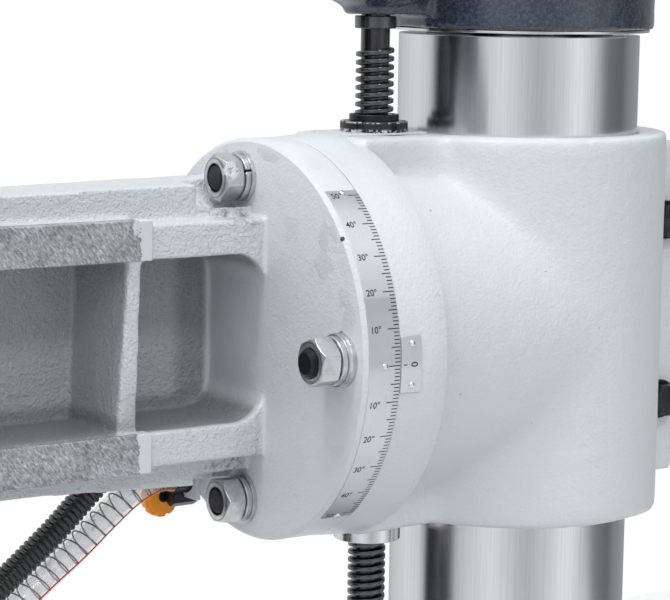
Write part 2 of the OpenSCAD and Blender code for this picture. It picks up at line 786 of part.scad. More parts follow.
module zero_rivets() {
    x = 9;
    color([0.9, 0.9, 0.92]) at_axis() for (s = [-1, 1]) rotate([s * 14 * 180 / PI / flange_r, 0, 0])
        rod_y(4, 1.2, -split_x + x, -flange_r - zero_plate_t - flare_at(x + 3), 0);
}

module pivot_pin() {
    color([0.55, 0.56, 0.58]) at_axis() rod_x(pivot_d, 44 + pivot_in_arm, -split_x - pivot_in_arm);
}

module sleeve_clamp_bolts() {
    x = sleeve_r + 16;
    color([0.25, 0.25, 0.26]) at_axis() for (z = [-1, 1] * sleeve_down / 2) {
        rod_y(16, 76, x, 40, z);
        translate([x, -26 - 3 + eps, z]) rotate([90, 0, 0]) hex_nut(24, 10);
        rod_y(30, 3, x, -26, z);
        rod_y(30, 3, x, 29, z);
        translate([x, 29 - eps, z]) rotate([-90, 0, 0]) hex_nut(24, 13);
    }
}

// Arm, which tilts on the sleeve's flange

module beam_outline() {
    root_x = arm_face - beam_taper_l;
    translate([0, beam_depth, 0]) rotate([90, 0, 0]) linear_extrude(beam_depth)
        polygon([[arm_face + 1, -beam_bottom - beam_root], [root_x, -beam_bottom],
            [arm_end, -beam_bottom], [arm_end, beam_top], [root_x, beam_top],
            [arm_face + 1, beam_top + 2.5]]);
}

function rib_x(i) = arm_face - pocket_first - i * rib_pitch;

module rib(i) {
    low = rail_lo_top - 1;
    high = rail_hi_bottom + 1;
    x = rib_x(i);
    intersection() {
        translate([0, web_y + 1, 0]) rotate([90, 0, 0]) linear_extrude(pocket_depth + 2)
            polygon([[x, high], [x - rib_t, high], [x - rib_t - rib_foot, low], [x, low]]);
        translate([x - 40, 0, 0]) rotate([90, 0, 90]) linear_extrude(41)
            polygon([[web_y + 1, high], [rail_face + 1, high], [-0.65 * rail_out, low],
                [web_y + 1, low]]);
    }
}

module arm_casting() {
    ribs = floor((arm_l - pocket_first - 60) / rib_pitch);
    painted = rail_face + rail_paint_step;
    notch_d = nut_af * 1.5;
    color([0.83, 0.85, 0.88]) at_axis() {
        difference() {
            union() {
                translate([arm_face, 0, 0]) rotate([0, 90, 0])
                    cylinder(r1 = flange_r - 2.5, r2 = flange_r, h = 2.5);
                rod_x(flange_d, arm_flange_t - 2.5 - split_gap, arm_face + 2.5 - eps);
                beam_outline();
                // Rails: painted beside the flange, milled beyond
                block([rail_step_x, painted, rail_hi_bottom], [arm_face + 1, 1, rail_hi_top - 3]);
                block([arm_end, rail_face, rail_hi_bottom], [rail_step_x, 1, rail_hi_top]);
                block([rail_step_x, painted, rail_lo_bottom + 3], [arm_face + 1, 1, rail_lo_top]);
                block([arm_end, rail_face, rail_lo_bottom], [rail_step_x, 1, rail_lo_top]);
                // The flange is left whole behind the end pocket's rounded corners
                block([arm_face - pocket_r, painted, rail_lo_bottom + 3],
                    [arm_face + 1, 1, rail_hi_top - 3]);
            }
            pocket(arm_end + 40, arm_face, rail_lo_top, rail_hi_bottom,
                rail_face - 1, web_y, pocket_r);
            for (i = [1, 3]) rod_x(notch_d, 44 + 1, arm_face - 44, stud_y(i), stud_z(i));
            on_stud_circle(-split_x + 1) cylinder(d = stud_d + 1.5, h = arm_flange_t + 2);
            rod_x(pivot_d + 2 * run_fit, pivot_in_arm + 1, -split_x - pivot_in_arm - 1);
            // Hole for the junction box's wires
            rod_y(14, 30, conduit_route[0][0] + 24, beam_depth + 1, -76);
        }
        for (i = [0 : ribs]) if (rib_x(i) - rib_t - rib_foot > arm_end + 40 + pocket_r) rib(i);
    }
}

module scale_plate() {
    color([0.85, 0.86, 0.88]) at_axis() translate([-split_x - split_gap - scale_w, 0, 0])
        rotate([0, 90, 0]) rotate(-90 - scale_half) rotate_extrude(angle = 2 * scale_half)
        translate([flange_r + seat, 0]) square([scale_t, scale_w]);
}

module scale_rivets() {
    color([0.9, 0.9, 0.92]) at_axis() for (a = [-scale_half + 1, 0, scale_half - 1])
        rotate([a, 0, 0]) rod_y(4, 1.2, -split_x - scale_w / 2, -flange_r - scale_t - seat, 0);
}

module flange_studs() {
    back = t_neck_h + gap + t_head_h;
    color([0.2, 0.2, 0.21]) at_axis() on_stud_circle(-split_x + back) {
        cylinder(d = t_head_d - 1, h = t_head_h);
        cylinder(d = stud_d, h = back + arm_flange_t + nut_base($stud) + nut_h + stud_proud[$stud]);
    }
}

// Height of a nut's underside above the arm's flange
function nut_base(i) = washers_n[i] * washer_t + spring_washer_t;

module flat_washers() {
    color([0.78, 0.79, 0.8]) at_axis() on_stud_circle(arm_face)
        for (k = [0 : washers_n[$stud] - 1])
            translate([0, 0, k * washer_t]) ring(nut_af + 7 - k, stud_d + 1, washer_t);
}

module spring_washers() {
    color([0.7, 0.7, 0.71]) at_axis() on_stud_circle(arm_face)
        translate([0, 0, washers_n[$stud] * washer_t]) difference() {
            ring(nut_af + 3.6, stud_d + 1, spring_washer_t);
            rotate(split_turns[$stud]) translate([0, -0.8, -1])
                cube([nut_af, 1.6, spring_washer_t + 2]);
        }
}

module flange_nuts() {
    color([0.78, 0.79, 0.8]) at_axis() on_stud_circle(arm_face)
        translate([0, 0, nut_base($stud)]) difference() {
            rotate(nut_turns[$stud]) hex_nut(nut_af, nut_h);
            translate([0, 0, -1]) cylinder(d = stud_d + 2 * seat, h = nut_h + 2);
        }
}

module traverse_rack() {
    pitch = PI * traverse_module;
    first = traverse_x - pitch / 2 - pitch * floor((traverse_x - arm_end - 30) / pitch);
    count = floor((rack_first_x - first) / pitch);
    color([0.45, 0.45, 0.47]) at_axis() translate([first, -3, rack_z - traverse_module])
        rotate([90, 0, 0]) linear_extrude(14)
        polygon(rack_points(count, traverse_module, rack_back + traverse_module));
}

module arm_stops() {
    color([0.3, 0.3, 0.31]) at_axis() for (x = [arm_end + 18, stop_x])
        translate([x, beam_depth - 14, beam_top]) hex_nut(17, 14);
}

module valve_bracket() {
    back = knob_y + 12 + gap;
    color([0.15, 0.15, 0.16]) at_axis() difference() {
        union() {
            block([arm_face - 4, valve_y - 16, valve_z - 16], [arm_face, valve_y + 14.5, -84]);
            block([arm_face - 4, valve_y, -112], [arm_face, back + 6, -84]);
            block([knob_x - 8, back, knob_z - 8], [arm_face, back + 6, -84]);
        }
        rod_x(valve_af / cos(30) + 2 * seat, 8, arm_face - 6, valve_y, valve_z);
        rod_x(inlet_af / cos(30) + 2 * seat, 8, arm_face - 6, inlet[1], inlet[2]);
        rod_y(10 + 2 * run_fit, 10, knob_x, back + 8, knob_z);
    }
}

module valve_body() {
    color([0.15, 0.15, 0.16]) at_axis() difference() {
        union() {
            translate(hose_route[0]) rotate([0, 90, 0])
                hex_nut(valve_af, arm_face - gap - hose_route[0][0]);
            translate(inlet) rotate([0, 90, 0]) hex_nut(inlet_af, 21);
        }
        rod_x(hose_bore, 12, hose_route[0][0] - 1, valve_y, valve_z);
    }
}

module valve_knob() {
    color([0.95, 0.55, 0.05]) at_axis() difference() {
        union() {
            rod_y(25, 12, knob_x, knob_y + 12, knob_z);
            rod_y(30, 6, knob_x, knob_y + 9, knob_z);
            rod_y(10, 8, knob_x, knob_y + 12 + gap + 7, knob_z);
        }
        for (i = [0 : 9]) translate([knob_x, 0, knob_z]) rotate([0, i * 36, 0])
            rod_y(3.6, 20, 15.6, knob_y + 14, 0);
    }
}

module junction_box() {
    z = conduit_route[0][2];
    y = conduit_route[0][1];
    side = conduit_route[0][0] + 12;
    color([0.3, 0.31, 0.33]) at_axis() difference() {
        union() {
            block([side, beam_depth, -98], [side + 24, beam_depth + 38, -52]);
            translate([side - 6, y, z]) rotate([0, 90, 0]) hex_nut(conduit_d + 2.5, 7);
            rod_x(conduit_d + 2, 7, side - 12, y, z);
        }
        block([side + 4, beam_depth - 1, -94], [side + 20, beam_depth + 34, -56]);
        rod_x(conduit_bore, 24, side - 13, y, z);
    }
}

module coolant_hose() {
    color([0.85, 0.86, 0.87]) at_axis() hose(hose_route, hose_d, 1, hose_bore, hose_ribs);
}

module power_conduit() {
    color([0.12, 0.12, 0.13]) at_axis() hose(conduit_route, conduit_d, 1.4, conduit_bore, conduit_ribs);
}

// Drill head, which travels along the arm

module head_casting() {
    hook_y = beam_depth + slide_gap;
    hook_z = beam_top + slide_gap;
    hook = head_w / 2 - 10;
    color([0.83, 0.85, 0.88]) at_axis() difference() {
        union() {
            round_box([head_left, -head_front, -head_bottom], [head_right, saddle_y, head_top], 28);
            block([head_left, saddle_y - 40, -head_bottom + 60], [head_right, saddle_y, head_top]);
            // Hook over the beam's top
            block([spindle_x - hook, saddle_y - 1, hook_z], [spindle_x + hook, hook_y + 16, hook_z + 24]);
            block([spindle_x - hook, saddle_y - 1, hook_z], [spindle_x + hook, motor_back, head_top]);
        }
        // Quill bore and the spindle's way to the top
        translate([spindle_x, -spindle_y, -head_bottom - 1])
            cylinder(d = quill_d + 2 * run_fit, h = head_bottom + cavity_floor + 1 - 6);
        translate([spindle_x, -spindle_y, 0]) cylinder(d = shaft_d + 10, h = head_top + 1);
        // Gear cavity
        translate([spindle_x, -spindle_y, cavity_floor])
            cylinder(r = drive_r + drive_module + 3, h = head_top);
        translate([spindle_x, motor_y, cavity_floor])
            cylinder(r = drive_module * (drive_pinion_n / 2 + 1) + 3, h = head_top);
        // Feed shaft and its pinion's cavity
        rod_x(20 + 2 * run_fit, head_w + 2, head_left - 1, feed_y, feed_z);
        rod_x(2 * (feed_r + feed_module + 2), 36, spindle_x - 18, feed_y, feed_z);
        // Traverse shaft
        rod_y(18 + 2 * run_fit, head_front + 1, traverse_x, 0, traverse_z);
        // Screw of the head's clamp
        rod_y(16 + 2 * run_fit, 40, clamp_x, -head_front + 39, clamp_z);
        rod_y(18 + 2 * run_fit, 60, lever_x, -head_front + 59, lever_z);
    }
}

module head_keeper() {
    hook_y = beam_depth + slide_gap;
    color([0.4, 0.41, 0.43]) at_axis()
        block([head_left + 20, hook_y, beam_top - 30], [head_right - 20, hook_y + 16,
            beam_top + slide_gap]);
}

module head_top_cover() {
    color([0.27, 0.32, 0.41]) at_axis() difference() {
        union() {
            round_box([head_left, -head_front, head_top], [head_right, saddle_y, head_top + cover_t], 28);
            block([head_left + 10, saddle_y - 40, head_top], [head_right - 10, motor_back, head_top + cover_t]);
        }
        translate([spindle_x, -spindle_y, head_top - 1]) cylinder(d = shaft_d + 6, h = cover_t + 2);
        translate([spindle_x, motor_y, head_top - 1]) cylinder(d = 30, h = cover_t + 2);
    }
}

module drive_motor() {
    color([0.3, 0.35, 0.43]) at_axis() translate([spindle_x, motor_y, head_top + cover_t]) difference() {
        motor_shape(motor_d, motor_l, 70);
        translate([0, 0, -1]) cylinder(d = 20 + 2 * run_fit, h = motor_bore_l + 1);
    }
}

module motor_fan_cover() {
    color([0.2, 0.22, 0.26]) at_axis()
        translate([spindle_x, motor_y, head_top + cover_t + motor_l - 8]) difference() {
            fan_cover_shape(motor_d + 4);
            translate([0, 0, -1]) cylinder(d = motor_d + 2 * seat, h = 9);
        }
}

module motor_pinion() {
    color([0.5, 0.51, 0.53]) at_axis() translate([spindle_x, motor_y, 0]) {
        translate([0, 0, drive_gear_z]) rotate(-90 + 180 / drive_pinion_n)
            gear(drive_pinion_n, drive_module, drive_gear_h, 18);
        translate([0, 0, drive_gear_z - 4])
            cylinder(d = 20, h = head_top + cover_t + motor_bore_l - 6 - drive_gear_z);
    }
}

module drive_gear() {
    color([0.5, 0.51, 0.53]) at_axis() translate([spindle_x, -spindle_y, 0]) difference() {
        union() {
            translate([0, 0, drive_gear_z]) rotate(90)
                gear(drive_gear_n, drive_module, drive_gear_h, shaft_d + 2);
            translate([0, 0, cavity_floor + gap]) cylinder(d = shaft_d + 20, h = head_top - 45);
        }
        translate([0, 0, -1]) cylinder(d = shaft_d + 2 * run_fit, h = head_top + 2);
    }
}

module spindle_cover() {
    h = quill_travel - 20;
    color([0.27, 0.32, 0.41]) at_axis() translate([spindle_x, -spindle_y, head_top + cover_t])
        difference() {
            union() {
                cylinder(d = shaft_d + 30, h = h);
                cylinder(d = shaft_d + 38, h = 8);
            }
            translate([0, 0, -1]) cylinder(d = shaft_d + 6, h = h - 7);
        }
}

module control_panel() {
    color([0.25, 0.26, 0.28]) at_axis() difference() {
        block([spindle_x - 85, -head_front - 26, 64], [spindle_x + 85, -head_front, 132]);
        for (x = [panel_stop_x, panel_start_x]) {
            rod_y(16 + 0.6, 40, x, -head_front + 1, panel_z);
        }
    }
}

module stop_button() {
    color([0.75, 0.1, 0.1]) at_axis() {
        rod_y(16, 28, panel_stop_x, -head_front - 6, panel_z);
        rod_y(34, 10, panel_stop_x, -head_front - 33, panel_z);
    }
}

module start_button() {
    color([0.1, 0.55, 0.25]) at_axis() {
        rod_y(16, 26, panel_start_x, -head_front - 6, panel_z);
        rod_y(22, 4, panel_start_x, -head_front - 31, panel_z);
    }
}

module speed_lever() {
    color([0.3, 0.3, 0.31]) at_axis() {
        rod_y(18, 70, lever_x, -head_front + 50, lever_z);
        rod_y(44, 14, lever_x, -head_front - gap, lever_z);
        translate([lever_x, -head_front - 12, lever_z]) rotate([20, 0, 0]) cylinder(d = 12, h = 62);
        translate([lever_x, -head_front - 12, lever_z]) rotate([20, 0, 0]) translate([0, 0, 70])
            sphere(d = ball_d * 0.8);
    }
}

module head_clamp_lever() {
    color([0.3, 0.3, 0.31]) at_axis() {
        rod_y(16, 56, clamp_x, -head_front + 36, clamp_z);
        rod_y(30, 18, clamp_x, -head_front - gap, clamp_z);
        translate([clamp_x, -head_front - 10, clamp_z]) rotate([150, 0, 0]) cylinder(d = 11, h = 82);
        translate([clamp_x, -head_front - 10, clamp_z]) rotate([150, 0, 0]) translate([0, 0, 90])
            sphere(d = ball_d * 0.8);
    }
}

module hose_fittings() {
    hose_end = hose_route[len(hose_route) - 1];
    conduit_end = conduit_route[len(conduit_route) - 1];
    color([0.3, 0.31, 0.33]) at_axis() difference() {
        union() {
            block([head_right, -78, -92], [conduit_end[0] + 18, -40, -56]);
            translate(hose_end + [0, 0, 0.1]) rotate(15) hex_nut(hose_d + 5.5, 22);
            translate(conduit_end + [0, 0, 0.1]) rotate(15) hex_nut(conduit_d + 5, 22);
        }
        translate(hose_end - [0, 0, 1]) cylinder(d = hose_bore, h = 16);
        translate(conduit_end - [0, 0, 1]) cylinder(d = conduit_bore, h = 16);
    }
}

// Feed handle, which turns the pinion in the quill's rack

module feed_hub() {
    out = 52;
    color([0.3, 0.3, 0.31]) at_axis() {
        rod_x(20, head_w + 20, head_left - 10, feed_y, feed_z);
        translate([spindle_x - 14, feed_y, feed_z]) rotate([0, 90, 0])
            gear(feed_n, feed_module, 28, 18);
        rod_x(96, 14, head_left - gap - 14, feed_y, feed_z);
        difference() {
            rod_x(64, out - 14, head_left - gap - out, feed_y, feed_z);
            for (i = [0 : 2]) spoke_place(i) translate([0, 0, 14]) cylinder(d = 12 + 2 * seat, h = 40);
        }
    }
}

module spoke_place(i) {
    translate([head_left - 34, feed_y, feed_z]) rotate([i * 120 + 30, 0, 0]) rotate([0, -14, 0]) children();
}

module feed_spokes() {
    color([0.75, 0.76, 0.78]) at_axis() for (i = [0 : 2]) spoke_place(i) {
        translate([0, 0, 15]) cylinder(d = 12, h = spoke_l - 15);
        translate([0, 0, spoke_l + 10]) sphere(d = ball_d);
    }
}

module traverse_handwheel() {
    y = -head_front - 18;
    color([0.3, 0.3, 0.31]) at_axis() {
        rod_y(18, head_front + 17 - 4, traverse_x, -4, traverse_z);
        translate([traverse_x, -3, traverse_z]) rotate([90, 0, 0]) rotate(90)
            gear(traverse_n, traverse_module, 14, 16);
        rod_y(44, 22, traverse_x, -head_front - gap, traverse_z);
        difference() {
            translate([traverse_x, y, traverse_z]) rotate([90, 0, 0])
                rotate_extrude() translate([wheel_r - 8, 0]) circle(d = 16);
            translate([traverse_x, y, traverse_z]) rotate([0, 30, 0]) translate([0, 0, wheel_r - 8])
                rod_y(8 + 2 * run_fit, 40, 0, 20, 0);
        }
        for (i = [0 : 2]) translate([traverse_x, y, traverse_z]) rotate([0, 30 + 60 + i * 120, 0])
            cylinder(d = 11, h = wheel_r - 10);
    }
}

module wheel_grip() {
    y = -head_front - 18;
    color([0.12, 0.12, 0.13]) at_axis() translate([traverse_x, 0, traverse_z]) rotate([0, 30, 0])
        translate([0, y, wheel_r - 8]) {
            rod_y(8, 22, 0, 6, 0);
            rod_y(18, 46, 0, -8 - gap, 0);
        }
}

// Quill and spindle

// Half the width of a tooth at a height above the pitch line, as a share of the pitch
function tooth_half(h) = tooth_root + (tooth_tip - tooth_root) * (h + 1.2) / 2.1;

module quill() {
    pitch = PI * feed_module;
    color([0.75, 0.76, 0.78]) at_axis() translate([spindle_x, -spindle_y, 0]) difference() {
        union() {
            translate([0, 0, quill_bottom]) cylinder(d = quill_d, h = quill_l);
            translate([0, 0, quill_bottom]) cylinder(d = quill_d + 16, h = 22);
        }
        // Seats of the two bearings, with the spindle's way between them
        translate([0, 0, quill_bottom - 1]) cylinder(d = front_bearing[0], h = bearing_seat + 1);
        translate([0, 0, quill_top - bearing_seat]) cylinder(d = rear_bearing[0], h = bearing_seat + 1);
        translate([0, 0, quill_bottom]) cylinder(d = front_bearing[1] + 8, h = quill_l);
        // Gaps between the teeth of the rack on the front
        for (i = [-2 : floor((quill_top - feed_z) / pitch + 0.5)])
            translate([-quill_d / 2, -quill_pitch_r, feed_z + i * pitch])
                rotate([90, 0, 90]) linear_extrude(quill_d)
                polygon([for (p = [[1, -1.6], [1, 1.2], [-1, 1.2], [-1, -1.6]])
                    [p[1] * feed_module, p[0] * (0.5 - tooth_half(-p[1])) * pitch]]);
    }
}

module quill_bearings() {
    color([0.7, 0.71, 0.73]) at_axis() translate([spindle_x, -spindle_y, 0]) {
        translate([0, 0, quill_bottom + 4])
            ring(front_bearing[0] - 2 * seat, front_bearing[1] + 2 * run_fit, bearing_seat - 4);
        translate([0, 0, quill_top - bearing_seat])
            ring(rear_bearing[0] - 2 * seat, rear_bearing[1] + 2 * run_fit, bearing_seat - 4);
    }
}

module spindle() {
    color([0.7, 0.71, 0.73]) at_axis() translate([spindle_x, -spindle_y, 0]) difference() {
        union() {
            translate([0, 0, quill_bottom - nose_out]) cylinder(d = nose_d, h = nose_out - gap);
            translate([0, 0, quill_bottom - 1]) cylinder(d = front_bearing[1], h = bearing_seat + 2);
            translate([0, 0, quill_bottom + bearing_seat + gap])
                cylinder(d = front_bearing[1] + 4, h = quill_l - 2 * (bearing_seat + gap));
            translate([0, 0, quill_top - bearing_seat - 1])
                cylinder(d = rear_bearing[1], h = bearing_seat);
            translate([0, 0, quill_top - 10]) cylinder(d = shaft_d, h = quill_travel + 95);
        }
        translate([0, 0, quill_bottom - nose_out - eps])
            cylinder(d1 = taper_mouth_d, d2 = taper_mouth_d - taper_depth / 19.25, h = taper_depth);
    }
}

base_plate();
column_foot();
foot_bolts();
column_tube();
column_plug();
top_cap();
cap_plate();
swing_bearing();
cap_lid();
lift_motor();
lift_fan_cover();
elevating_screw();
lift_gear();
screw_bearing();
lift_pinion();
arm_sleeve();
lift_nut();
nut_lock_ring();
nut_washer();
nut_plate();
zero_plate();
zero_rivets();
pivot_pin();
sleeve_clamp_bolts();
arm_casting();
scale_plate();
scale_rivets();
flange_studs();
flange_nuts();
spring_washers();
flat_washers();
traverse_rack();
arm_stops();
valve_bracket();
valve_body();
valve_knob();
junction_box();
coolant_hose();
power_conduit();
head_casting();
head_keeper();
head_top_cover();
drive_motor();
motor_fan_cover();
motor_pinion();
drive_gear();
spindle_cover();
control_panel();
stop_button();
start_button();
speed_lever();
head_clamp_lever();
hose_fittings();
feed_hub();
feed_spokes();
traverse_handwheel();
wheel_grip();
quill();
quill_bearings();
spindle();
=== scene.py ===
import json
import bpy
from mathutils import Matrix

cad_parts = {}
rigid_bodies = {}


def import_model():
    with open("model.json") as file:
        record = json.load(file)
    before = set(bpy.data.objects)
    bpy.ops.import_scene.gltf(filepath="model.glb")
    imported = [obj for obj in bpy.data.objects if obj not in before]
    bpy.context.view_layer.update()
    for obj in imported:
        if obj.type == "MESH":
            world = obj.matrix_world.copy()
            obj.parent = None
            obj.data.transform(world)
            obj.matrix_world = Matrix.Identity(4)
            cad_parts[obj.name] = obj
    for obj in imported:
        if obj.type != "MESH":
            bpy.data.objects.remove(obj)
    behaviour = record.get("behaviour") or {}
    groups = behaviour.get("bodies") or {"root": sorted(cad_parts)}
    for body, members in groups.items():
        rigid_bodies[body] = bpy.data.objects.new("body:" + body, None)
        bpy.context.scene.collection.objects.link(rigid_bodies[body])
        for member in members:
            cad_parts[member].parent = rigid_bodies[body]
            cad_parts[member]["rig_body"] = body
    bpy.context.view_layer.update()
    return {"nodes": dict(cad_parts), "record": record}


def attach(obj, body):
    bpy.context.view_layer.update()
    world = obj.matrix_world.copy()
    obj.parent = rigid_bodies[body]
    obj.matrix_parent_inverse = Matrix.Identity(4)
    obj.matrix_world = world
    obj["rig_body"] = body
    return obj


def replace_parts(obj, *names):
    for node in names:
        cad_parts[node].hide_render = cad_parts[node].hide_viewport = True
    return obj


bl_info = {
    "name": "Radial arm drill",
    "version": (1, 0, 0),
    "blender": (4, 5, 0),
    "location": "View3D > Sidebar > Radial drill",
    "description": "Dresses a radial arm drill: castings, steel, scale, hoses and controls",
    "category": "Add Mesh",
}

from math import cos, degrees, pi, radians, sin, tau

import bmesh
import bpy
from bpy.props import FloatProperty, FloatVectorProperty, IntProperty, PointerProperty
from mathutils import Matrix, Vector, noise

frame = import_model()

MM = 0.001
AXIS_Z = 1.350  # the arm's axis over the floor, in metres
# In millimetres from the arm's axis
FLANGE_R = 142.0
ARM_FACE = -237.0
SPLIT = -208.5
SCREW_X = -132.0
THREAD_TOP = 201.5
THREAD_BOTTOM = -976.0
STUD_R = 115.0
STUD_SEAT = -196.0
GUIDE_BACK = -22.3
SCALE_EDGE = SPLIT - 0.3
PLATE_R = FLANGE_R + 0.82
NUT_SEAT = (-170.8, 24.3, 142.8)
KNOB_HOLE = (-249, 96, -129.8)
# Where marks of the photo lie
DIRT = (-237, -114.7, 17.4)
PAINT_BLOB = (-339, -22, 86)
PAINT_RUN = (-256, -8, 122)
BARE_SPOT = (-106, -12, 218)
PIN_HOLE = (-236.4, -112.6, 82.8)
# The four studs' turns in degrees from a square, and their lengths from the seat in metres
STUD_TURNS = (0.9, 5.5, 0.0, -2.7)
STUD_ENDS = (0.0710, 0.0643, 0.0660, 0.0644)
STRIP_END = -0.335  # where the milled strips end along X, in metres
RIB_X, RIB_PITCH = -0.337, 0.150
POCKET_Y, POCKET_LOW, POCKET_HIGH = -0.0175, -0.0600, 0.068  # the pockets' mouth and ends from the axis
SEAM_HEIGHT = 0.0922  # the corner over the upper strip, from the axis
RING_FOOT, RING_RIM = 0.1455, 0.1515  # the lock ring's lower and upper edge, from the axis
STRIPE, STRIPE_TURN, STRIPE_WIDTH = 132, 60, 9  # the hose's red line, in degrees round it
HOSE_R, HOSE_BORE_R, CONDUIT_BORE_R = 0.01075, 0.0075, 0.0070
WIRE_R, WIRE_THICK = 0.0096, 0.0006
BALL_KNOB = 26.2  # diameter of the levers' ball knobs in millimetres
TUBE_CUTS, STRIPE_CUTS = 150, 300
MOST_TRIANGLES = 190000
SHARP = 38  # edges over this angle in degrees stay sharp
DEGREE_LINES = ((10, 9.2), (5, 7.0), (1, 4.3))  # steps in degrees, and how long their lines are
INK_THICK = 0.05
BLEND_ROUNDS = 160
SKIN_LUMPS = 38  # lumps per metre in a casting's skin
NOTCH_DARKENING = (0.10, 0.10, 0.10)


def rel(x, y, z):
    """A point given in millimetres from the arm's axis, in metres in the shared frame."""
    return Vector((x * MM, y * MM, z * MM + AXIS_Z))


def colour_property(name, text, value):
    return FloatVectorProperty(name=name, description=text, subtype="COLOR", size=3, min=0, max=1,
                               default=value)


def length_property(name, text, value):
    return FloatProperty(name=name, description=text, default=value, min=0.0, unit="LENGTH")


class DrillSizes(bpy.types.PropertyGroup):
    lift_pitch: length_property("Lift screw pitch", "Rise of the lift screw's thread in one turn", 0.006)
    stud_pitch: length_property("Stud pitch", "Rise of the flange studs' thread in one turn", 0.0025)
    cast_cell: length_property("Casting cell", "Size of the cells that the castings are rounded with", 0.0024)
    cast_rounds: IntProperty(name="Casting rounds", description="How often a casting's corners are eased",
                             default=7, min=0, max=30)
    wire_pitch: length_property("Hose wire pitch", "Distance between the turns of the hose's wire", 0.0095)
    conduit_pitch: length_property("Conduit pitch", "Distance between the conduit's ribs", 0.0045)


class DrillColours(bpy.types.PropertyGroup):
    enamel: colour_property("Enamel", "Light enamel of arm, sleeve and head", (0.615, 0.648, 0.676))
    hammered: colour_property("Hammered paint", "Dark blue paint of cap and covers", (0.030, 0.040, 0.062))
    motor: colour_property("Motor paint", "Paint of the two motors", (0.075, 0.095, 0.130))
    orange: colour_property("Orange", "Plastic of the tap's knob", (0.95, 0.33, 0.002))
    base: colour_property("Base paint", "Paint of the base plate", (0.14, 0.17, 0.22))


def sizes():
    return bpy.context.scene.drill_sizes


def colours():
    return bpy.context.scene.drill_colours


# Shaders

def sum_of(operation, swap=False):
    """A method that adds a Math node with the value and another one."""
    return lambda self, other: self._math(operation, other, swap=swap)


class Val:
    """A socket in a shader that takes part in sums."""

    def __init__(self, paint, socket):
        self.paint, self.socket = paint, socket

    def _math(self, operation, *others, swap=False, clamp=False):
        terms = [self, *others]
        if swap:
            terms.reverse()
        return self.paint.node("ShaderNodeMath", dict(enumerate(terms)), operation=operation, use_clamp=clamp)

    __add__ = __radd__ = sum_of("ADD")
    __mul__ = __rmul__ = sum_of("MULTIPLY")
    __sub__, __rsub__ = sum_of("SUBTRACT"), sum_of("SUBTRACT", swap=True)
    __truediv__, lowest = sum_of("DIVIDE"), sum_of("MINIMUM")

    def __abs__(self):
        return self._math("ABSOLUTE")

    def wrapped(self, low=-0.5, high=0.5):
        """The value brought between two ends by whole steps of their distance."""
        return self.paint.node("ShaderNodeMath", {0: self, 1: high, 2: low}, operation="WRAP")

    def turn(self, other):
        """The angle of the point (other, self), in radians from the X axis."""
        return self._math("ARCTAN2", other)

    def held(self):
        return self._math("ADD", 0.0, clamp=True)

    def rising(self, start, end):
        """0 up to start, 1 from end on, and smooth in between; falling where end is the lower."""
        return self.paint.node("ShaderNodeMapRange", {"Value": self, "From Min": start, "From Max": end},
                               interpolation_type="SMOOTHSTEP")


class Shader:
    """A node tree, with a place from which its patterns are read."""

    def __init__(self, tree, place):
        self.tree = tree
        self.place = self.node("ShaderNodeTexCoord", output=place)
        self.parts = None

    def node(self, kind, inputs=None, output=0, stops=None, **settings):
        made = self.tree.nodes.new(kind)
        for key, value in settings.items():
            setattr(made, key, value)
        if stops:
            ramp = made.color_ramp.elements
            while len(ramp) < len(stops):
                ramp.new(0.5)
            for element, (where, colour) in zip(ramp, stops):
                element.position, element.color = where, (*colour, 1.0)
        for key, value in (inputs or {}).items():
            if isinstance(value, Val):
                self.tree.links.new(value.socket, made.inputs[key])
            elif isinstance(value, (tuple, list)) and made.inputs[key].type == "RGBA" and len(value) == 3:
                made.inputs[key].default_value = (*value, 1.0)
            else:
                made.inputs[key].default_value = value
        return Val(self, made.outputs[output])

    def axis(self, index):
        if self.parts is None:
            first = self.node("ShaderNodeSeparateXYZ", {"Vector": self.place})
            self.parts = [Val(self, first.socket.node.outputs[i]) for i in range(3)]
        return self.parts[index]

    def vector(self, operation, *terms, output=0):
        return self.node("ShaderNodeVectorMath", dict(enumerate(terms)), output, operation=operation)

    def ramp(self, value, stops):
        """The colours of (place, colour) stops, read at a value from 0 to 1."""
        return self.node("ShaderNodeValToRGB", {"Fac": value}, stops=stops)

    def at(self, centre=(0, 0, 0), scale=(1, 1, 1)):
        """The place counted from a centre, then stretched."""
        return self.node("ShaderNodeMapping", {"Vector": self.vector("SUBTRACT", self.place, centre),
                                               "Scale": scale}, vector_type="POINT")

    def slanted(self, angle, stretch):
        """The place turned about Y first, then drawn out along the turned X axis."""
        inputs = {"Vector": self.place, "Rotation": (0, radians(angle), 0), "Scale": (stretch, 1, 1)}
        return self.node("ShaderNodeMapping", inputs, vector_type="TEXTURE")

    def grain(self, size, detail=2.0, rough=0.5, place=None, output=0):
        """Noise from 0 to 1 with lumps of a size in metres."""
        inputs = {"Vector": place or self.place, "Scale": 1.0 / size, "Detail": detail, "Roughness": rough}
        return self.node("ShaderNodeTexNoise", inputs, output)

    def cells(self, size, place=None, feature="F1"):
        return self.node("ShaderNodeTexVoronoi", {"Vector": place or self.place, "Scale": 1.0 / size},
                         output="Distance", feature=feature)

    def away(self, centre, scale=(1, 1, 1)):
        """How far the place lies from a point, in metres."""
        return self.vector("LENGTH", self.at(centre, scale), output="Value")

    def near(self, centre, radius, soft=0.3, scale=(1, 1, 1)):
        """1 close to a point, falling to 0 at the radius."""
        return self.away(centre, scale).rising(radius, radius * (1 - soft))

    def mix(self, factor, first, second):
        return self.node("ShaderNodeMix", {0: factor, 6: first, 7: second}, output=2, data_type="RGBA")


